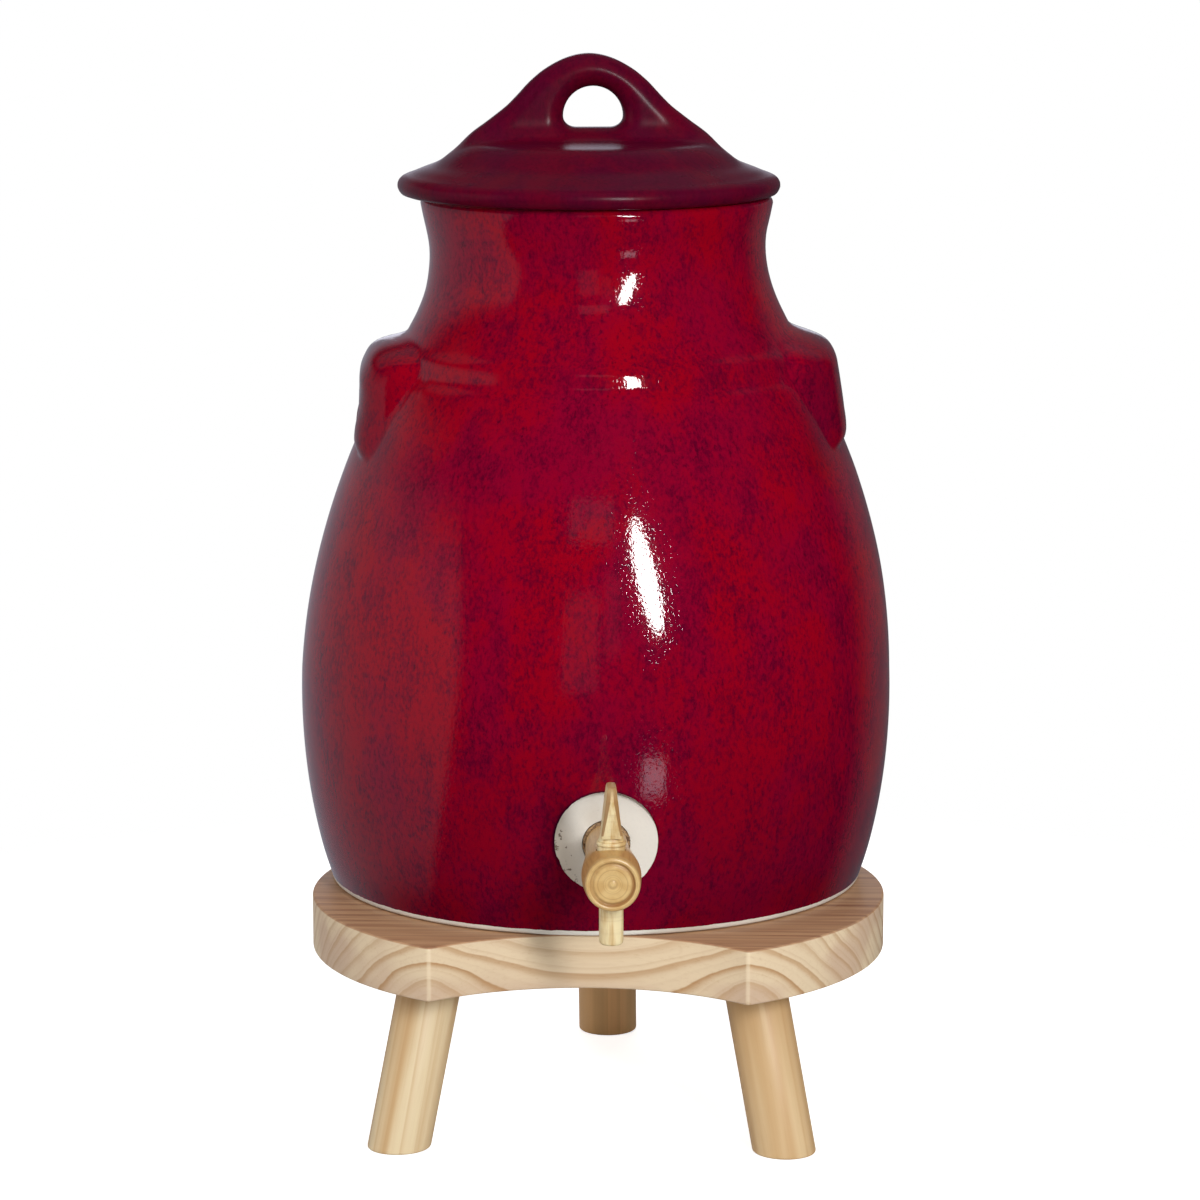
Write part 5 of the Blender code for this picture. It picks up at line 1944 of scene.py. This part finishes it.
@dataclass
class Studio:
    """The floor, the light and the camera."""

    camera_place: tuple[float, float, float] = (-0.0555, -1.5657, 0.4730)
    camera_heading: tuple[float, float] = (0.0358, 0.9994)
    camera_pitch: float = math.radians(10.25)
    lens: float = 130.03
    sensor: float = 36.0
    target_height: float = 0.20
    floor_radius: float = 0.5
    floor_fade: Point2 = (0.30, 0.46)
    floor_gap: float = 0.05 * MM  # it lies this far under the legs
    floor_white: Colour = (0.80, 0.80, 0.80)
    floor_glow: float = 0.76
    ambient: float = 0.13
    pane_tint: Colour = (0.96, 1.0, 1.16)
    lamps: tuple[Lamp, ...] = (
        Lamp("window", 19.3, 17.3, 0.19, 0.64, 0.60, roll=23.0, shape=LampShape.OVAL, in_gloss=True),
        Lamp("front_fill", 20, 34, 1.2, 1.2, 0.17),
        Lamp("left_fill", -70, 18, 1.2, 1.2, 0.42),
        Lamp("right_fill", 80, 24, 1.2, 1.2, 0.13),
        Lamp("top_fill", 0, 80, 1.2, 1.2, 0.20),
        Lamp("back_fill", 180, 18, 1.2, 1.2, 0.50))
    # A pale wall on the left, three dimmer ones behind and above, three patches near the camera, one that is
    # low on the right, and one straight behind, which is in two halves because the angles start again there
    panes: tuple[Pane, ...] = (
        Pane((-185, -54.5), (-34, 20), 0.30, 3.2, 9.0, bow=0.02),
        Pane((128, 185), (-30, 60), 0.105, 14.0, 10.0),
        Pane((100, 185), (40, 76), 0.08, 8.0, 8.0),
        Pane((-185, -100), (32, 76), 0.12, 8.0, 8.0),
        Pane((-14, 6.5), (25.5, 33), 0.24, 1.0, 1.0),
        Pane((-13.5, 0.5), (-2, 17), 0.16, 1.0, 1.5),
        Pane((2.5, 9), (4, 20), 0.10, 1.0, 1.5),
        Pane((18, 26.5), (-20.5, -14.2), 2.6, 1.5, 1.6),
        Pane((173, 185), (-2, 22), 0.8, 1.0, 1.0),
        Pane((-185, -173), (-2, 22), 0.8, 1.0, 1.0))

    def set_up(self, crock: Vector) -> None:
        """Makes the floor, the light and the camera.

        Args:
            crock: Where the crock stands.
        """
        camera = self.make_camera()
        front = camera.location - crock
        front.z = 0
        front.normalize()
        target = Vector((crock.x, crock.y, self.target_height))
        for lamp in self.lamps:
            lamp.light(target, front)
        self.make_world(front)
        self.make_floor(crock)
        LOG.info("studio: %d lamps, %d panes", len(self.lamps), len(self.panes))

    def make_camera(self) -> bpy.types.Object:
        """Sets up the camera at the photograph's angle.

        Returns:
            The camera.
        """
        data = bpy.data.cameras.new("camera")
        data.lens = self.lens
        data.sensor_width = self.sensor
        camera = add_object("camera", data)
        camera.location = self.camera_place
        level = math.cos(self.camera_pitch)
        ahead = Vector((self.camera_heading[0] * level, self.camera_heading[1] * level,
                        -math.sin(self.camera_pitch)))
        camera.rotation_mode = "QUATERNION"
        camera.rotation_quaternion = ahead.to_track_quat("-Z", "Y")
        bpy.context.scene.camera = camera
        return camera

    def make_world(self, front: Vector) -> None:
        """A dim room with a few pale panes, whose walls the camera sees as white.

        Args:
            front: The level direction from the crock to the camera.
        """
        world = bpy.data.worlds.new("studio")
        world.use_nodes = True
        bpy.context.scene.world = world
        shader = Shader(world.node_tree)
        ray = shader.node("ShaderNodeLightPath", output="Is Camera Ray")
        seen = ray.larger(ray.output("Is Transmission Ray"))
        x, y, z = shader.parts_of(shader.node("ShaderNodeTexCoord", output="Generated"))
        ahead = x * front.x + y * front.y
        aside = x * -front.y + y * front.x
        azimuth = aside.combine("ARCTAN2", aside, ahead) * math.degrees(1)
        elevation = z.apply("ARCSINE") * math.degrees(1)
        room = self.panes[0].add_to(azimuth, elevation)
        for pane in self.panes[1:]:
            room = room + pane.add_to(azimuth, elevation)
        glossy = ray.output("Is Glossy Ray")
        unseen = glossy * room + (1 - glossy) * self.ambient
        strength = seen + (1 - seen) * unseen
        colour = shader.mix((1.0, 1.0, 1.0), self.pane_tint, glossy)
        shader.finish(shader.node("ShaderNodeBackground", {}, {"Color": colour, "Strength": strength}),
                      "ShaderNodeOutputWorld")

    def make_floor(self, crock: Vector) -> None:
        """A pale floor that keeps the object's shadow.

        Args:
            crock: Where the crock stands.
        """
        floor = turned("floor", [(0, 0), (self.floor_radius, 0)], 96)
        floor.location = (crock.x, crock.y, -self.floor_gap)
        floor.visible_glossy = False
        material, shader = Shader.of_material("floor_white")
        x, y, _ = shader.parts_of(shader.node("ShaderNodeTexCoord", output="Object"))
        far = x.hypotenuse(y).smooth(*self.floor_fade)
        seen = shader.node("ShaderNodeLightPath", output="Is Camera Ray")
        lit = shader.surface({"Base Color": self.floor_white, "Roughness": 0.9, "Specular IOR Level": 0.0})
        glow = shader.node("ShaderNodeEmission", {}, {"Strength": seen * self.floor_glow})
        both = shader.node("ShaderNodeAddShader", {}, {0: lit, 1: glow})
        white = shader.node("ShaderNodeEmission", {}, {"Strength": seen})
        shader.finish(shader.node("ShaderNodeMixShader", {}, {0: far, 1: both, 2: white}))
        floor.data.materials.append(material)


@dataclass
class VinegarCrock:
    """The whole object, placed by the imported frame."""

    crock: CrockBody = field(default_factory=CrockBody)
    lid: Lid = field(default_factory=Lid)
    tap: Tap = field(default_factory=Tap)
    stand: Stand = field(default_factory=Stand)

    def crock_place(self) -> Vector:
        """Where the crock's base stands on its seat."""
        low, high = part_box("crock_body")
        return Vector(((low.x + high.x) / 2, (low.y + high.y) / 2, low.z))

    def build(self) -> Vector:
        """Makes every piece and puts it on its body.

        Returns:
            Where the crock stands.
        """
        base = self.crock_place()
        self._build_pot(base)
        self._build_lid()
        self._build_tap(base)
        self._build_stand()
        return base

    def _build_pot(self, base: Vector) -> None:
        """Makes the crock's body.

        Args:
            base: Where it stands.
        """
        pot = self.crock.bore(self.crock.build("crock_pot"), self.tap)
        shade(pot)
        pot.location = base
        hand_over(pot, Body.CROCK, "crock_body", self.crock.dress())

    def _build_lid(self) -> None:
        """Makes the lid, on the rim."""
        low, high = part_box("lid")
        lid = self.lid.build("lid_with_grip")
        lid.location = ((low.x + high.x) / 2, (low.y + high.y) / 2, low.z + self.lid.flange_depth)
        hand_over(lid, Body.LID, "lid", self.lid.dress())

    def _build_tap(self, base: Vector) -> None:
        """Makes the cork, the barrel and the key, on the tap's axis.

        Args:
            base: Where the crock stands.
        """
        axis = next(joint for joint in frame["joints"] if joint["name"] == "key_turn")
        face = Vector((base.x, base.y - self.crock.boss_reach, axis["pos_m"][2]))
        lying = Matrix.Translation(face) @ DOWN_FORWARD
        cork = self.tap.build_cork("tap_cork_ring")
        cork.matrix_world = lying
        hand_over(cork, Body.CROCK, "tap_cork", Cork().make())
        barrel = self.tap.build_barrel("tap_barrel_turned")
        barrel.matrix_world = lying
        hand_over(barrel, Body.CROCK, "tap_barrel", self.tap.dress_barrel())
        key = self.tap.build_key("tap_key_with_spout")
        key.location = axis["pos_m"]
        hand_over(key, Body.KEY, "tap_key", self.tap.dress_key())

    def _build_stand(self) -> None:
        """Makes the seat and the legs, on the floor."""
        low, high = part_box("stand_seat")
        feet = {mount["name"]: Vector(mount["pos_m"]) for mount in frame["record"]["mounts"]}
        middle = Vector(((low.x + high.x) / 2, high.y - self.stand.radius, high.z))
        legs = {}
        for place in LegPlace:
            foot = feet[f"foot_{place.value}"]
            outward = (foot - Vector((middle.x, middle.y, 0))).normalized()
            along = (Vector((0, 0, 1)) * math.cos(self.stand.leg_splay)
                     - outward * math.sin(self.stand.leg_splay))
            turn = along.to_track_quat("Z", "Y").to_matrix().to_4x4()
            legs[place] = Matrix.Translation(foot) @ turn
        back = feet["foot_back"] - middle
        turn = Matrix.Rotation(-math.atan2(back.x, back.y), 4, "Z")
        seat = self.stand.build_seat("seat_board", Matrix.Translation(middle) @ turn, list(legs.values()))
        hand_over(seat, Body.STAND, "stand_seat", self.stand.dress_seat())
        seat.visible_glossy = False
        for place, matrix in legs.items():
            leg = self.stand.build_leg(f"{place.value}_leg_dowel", middle.z, matrix)
            hand_over(leg, Body.STAND, f"leg_{place.value}", self.stand.dress_leg(place))


def main() -> None:
    """Builds the crock and its studio."""
    logging.basicConfig(level=logging.INFO, format="%(name)s %(message)s")
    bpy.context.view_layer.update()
    crock = VinegarCrock().build()
    Studio().set_up(crock)
    settings = bpy.context.scene.view_settings
    settings.view_transform = "Standard"
    bpy.context.view_layer.update()


if __name__ == "__main__":
    main()
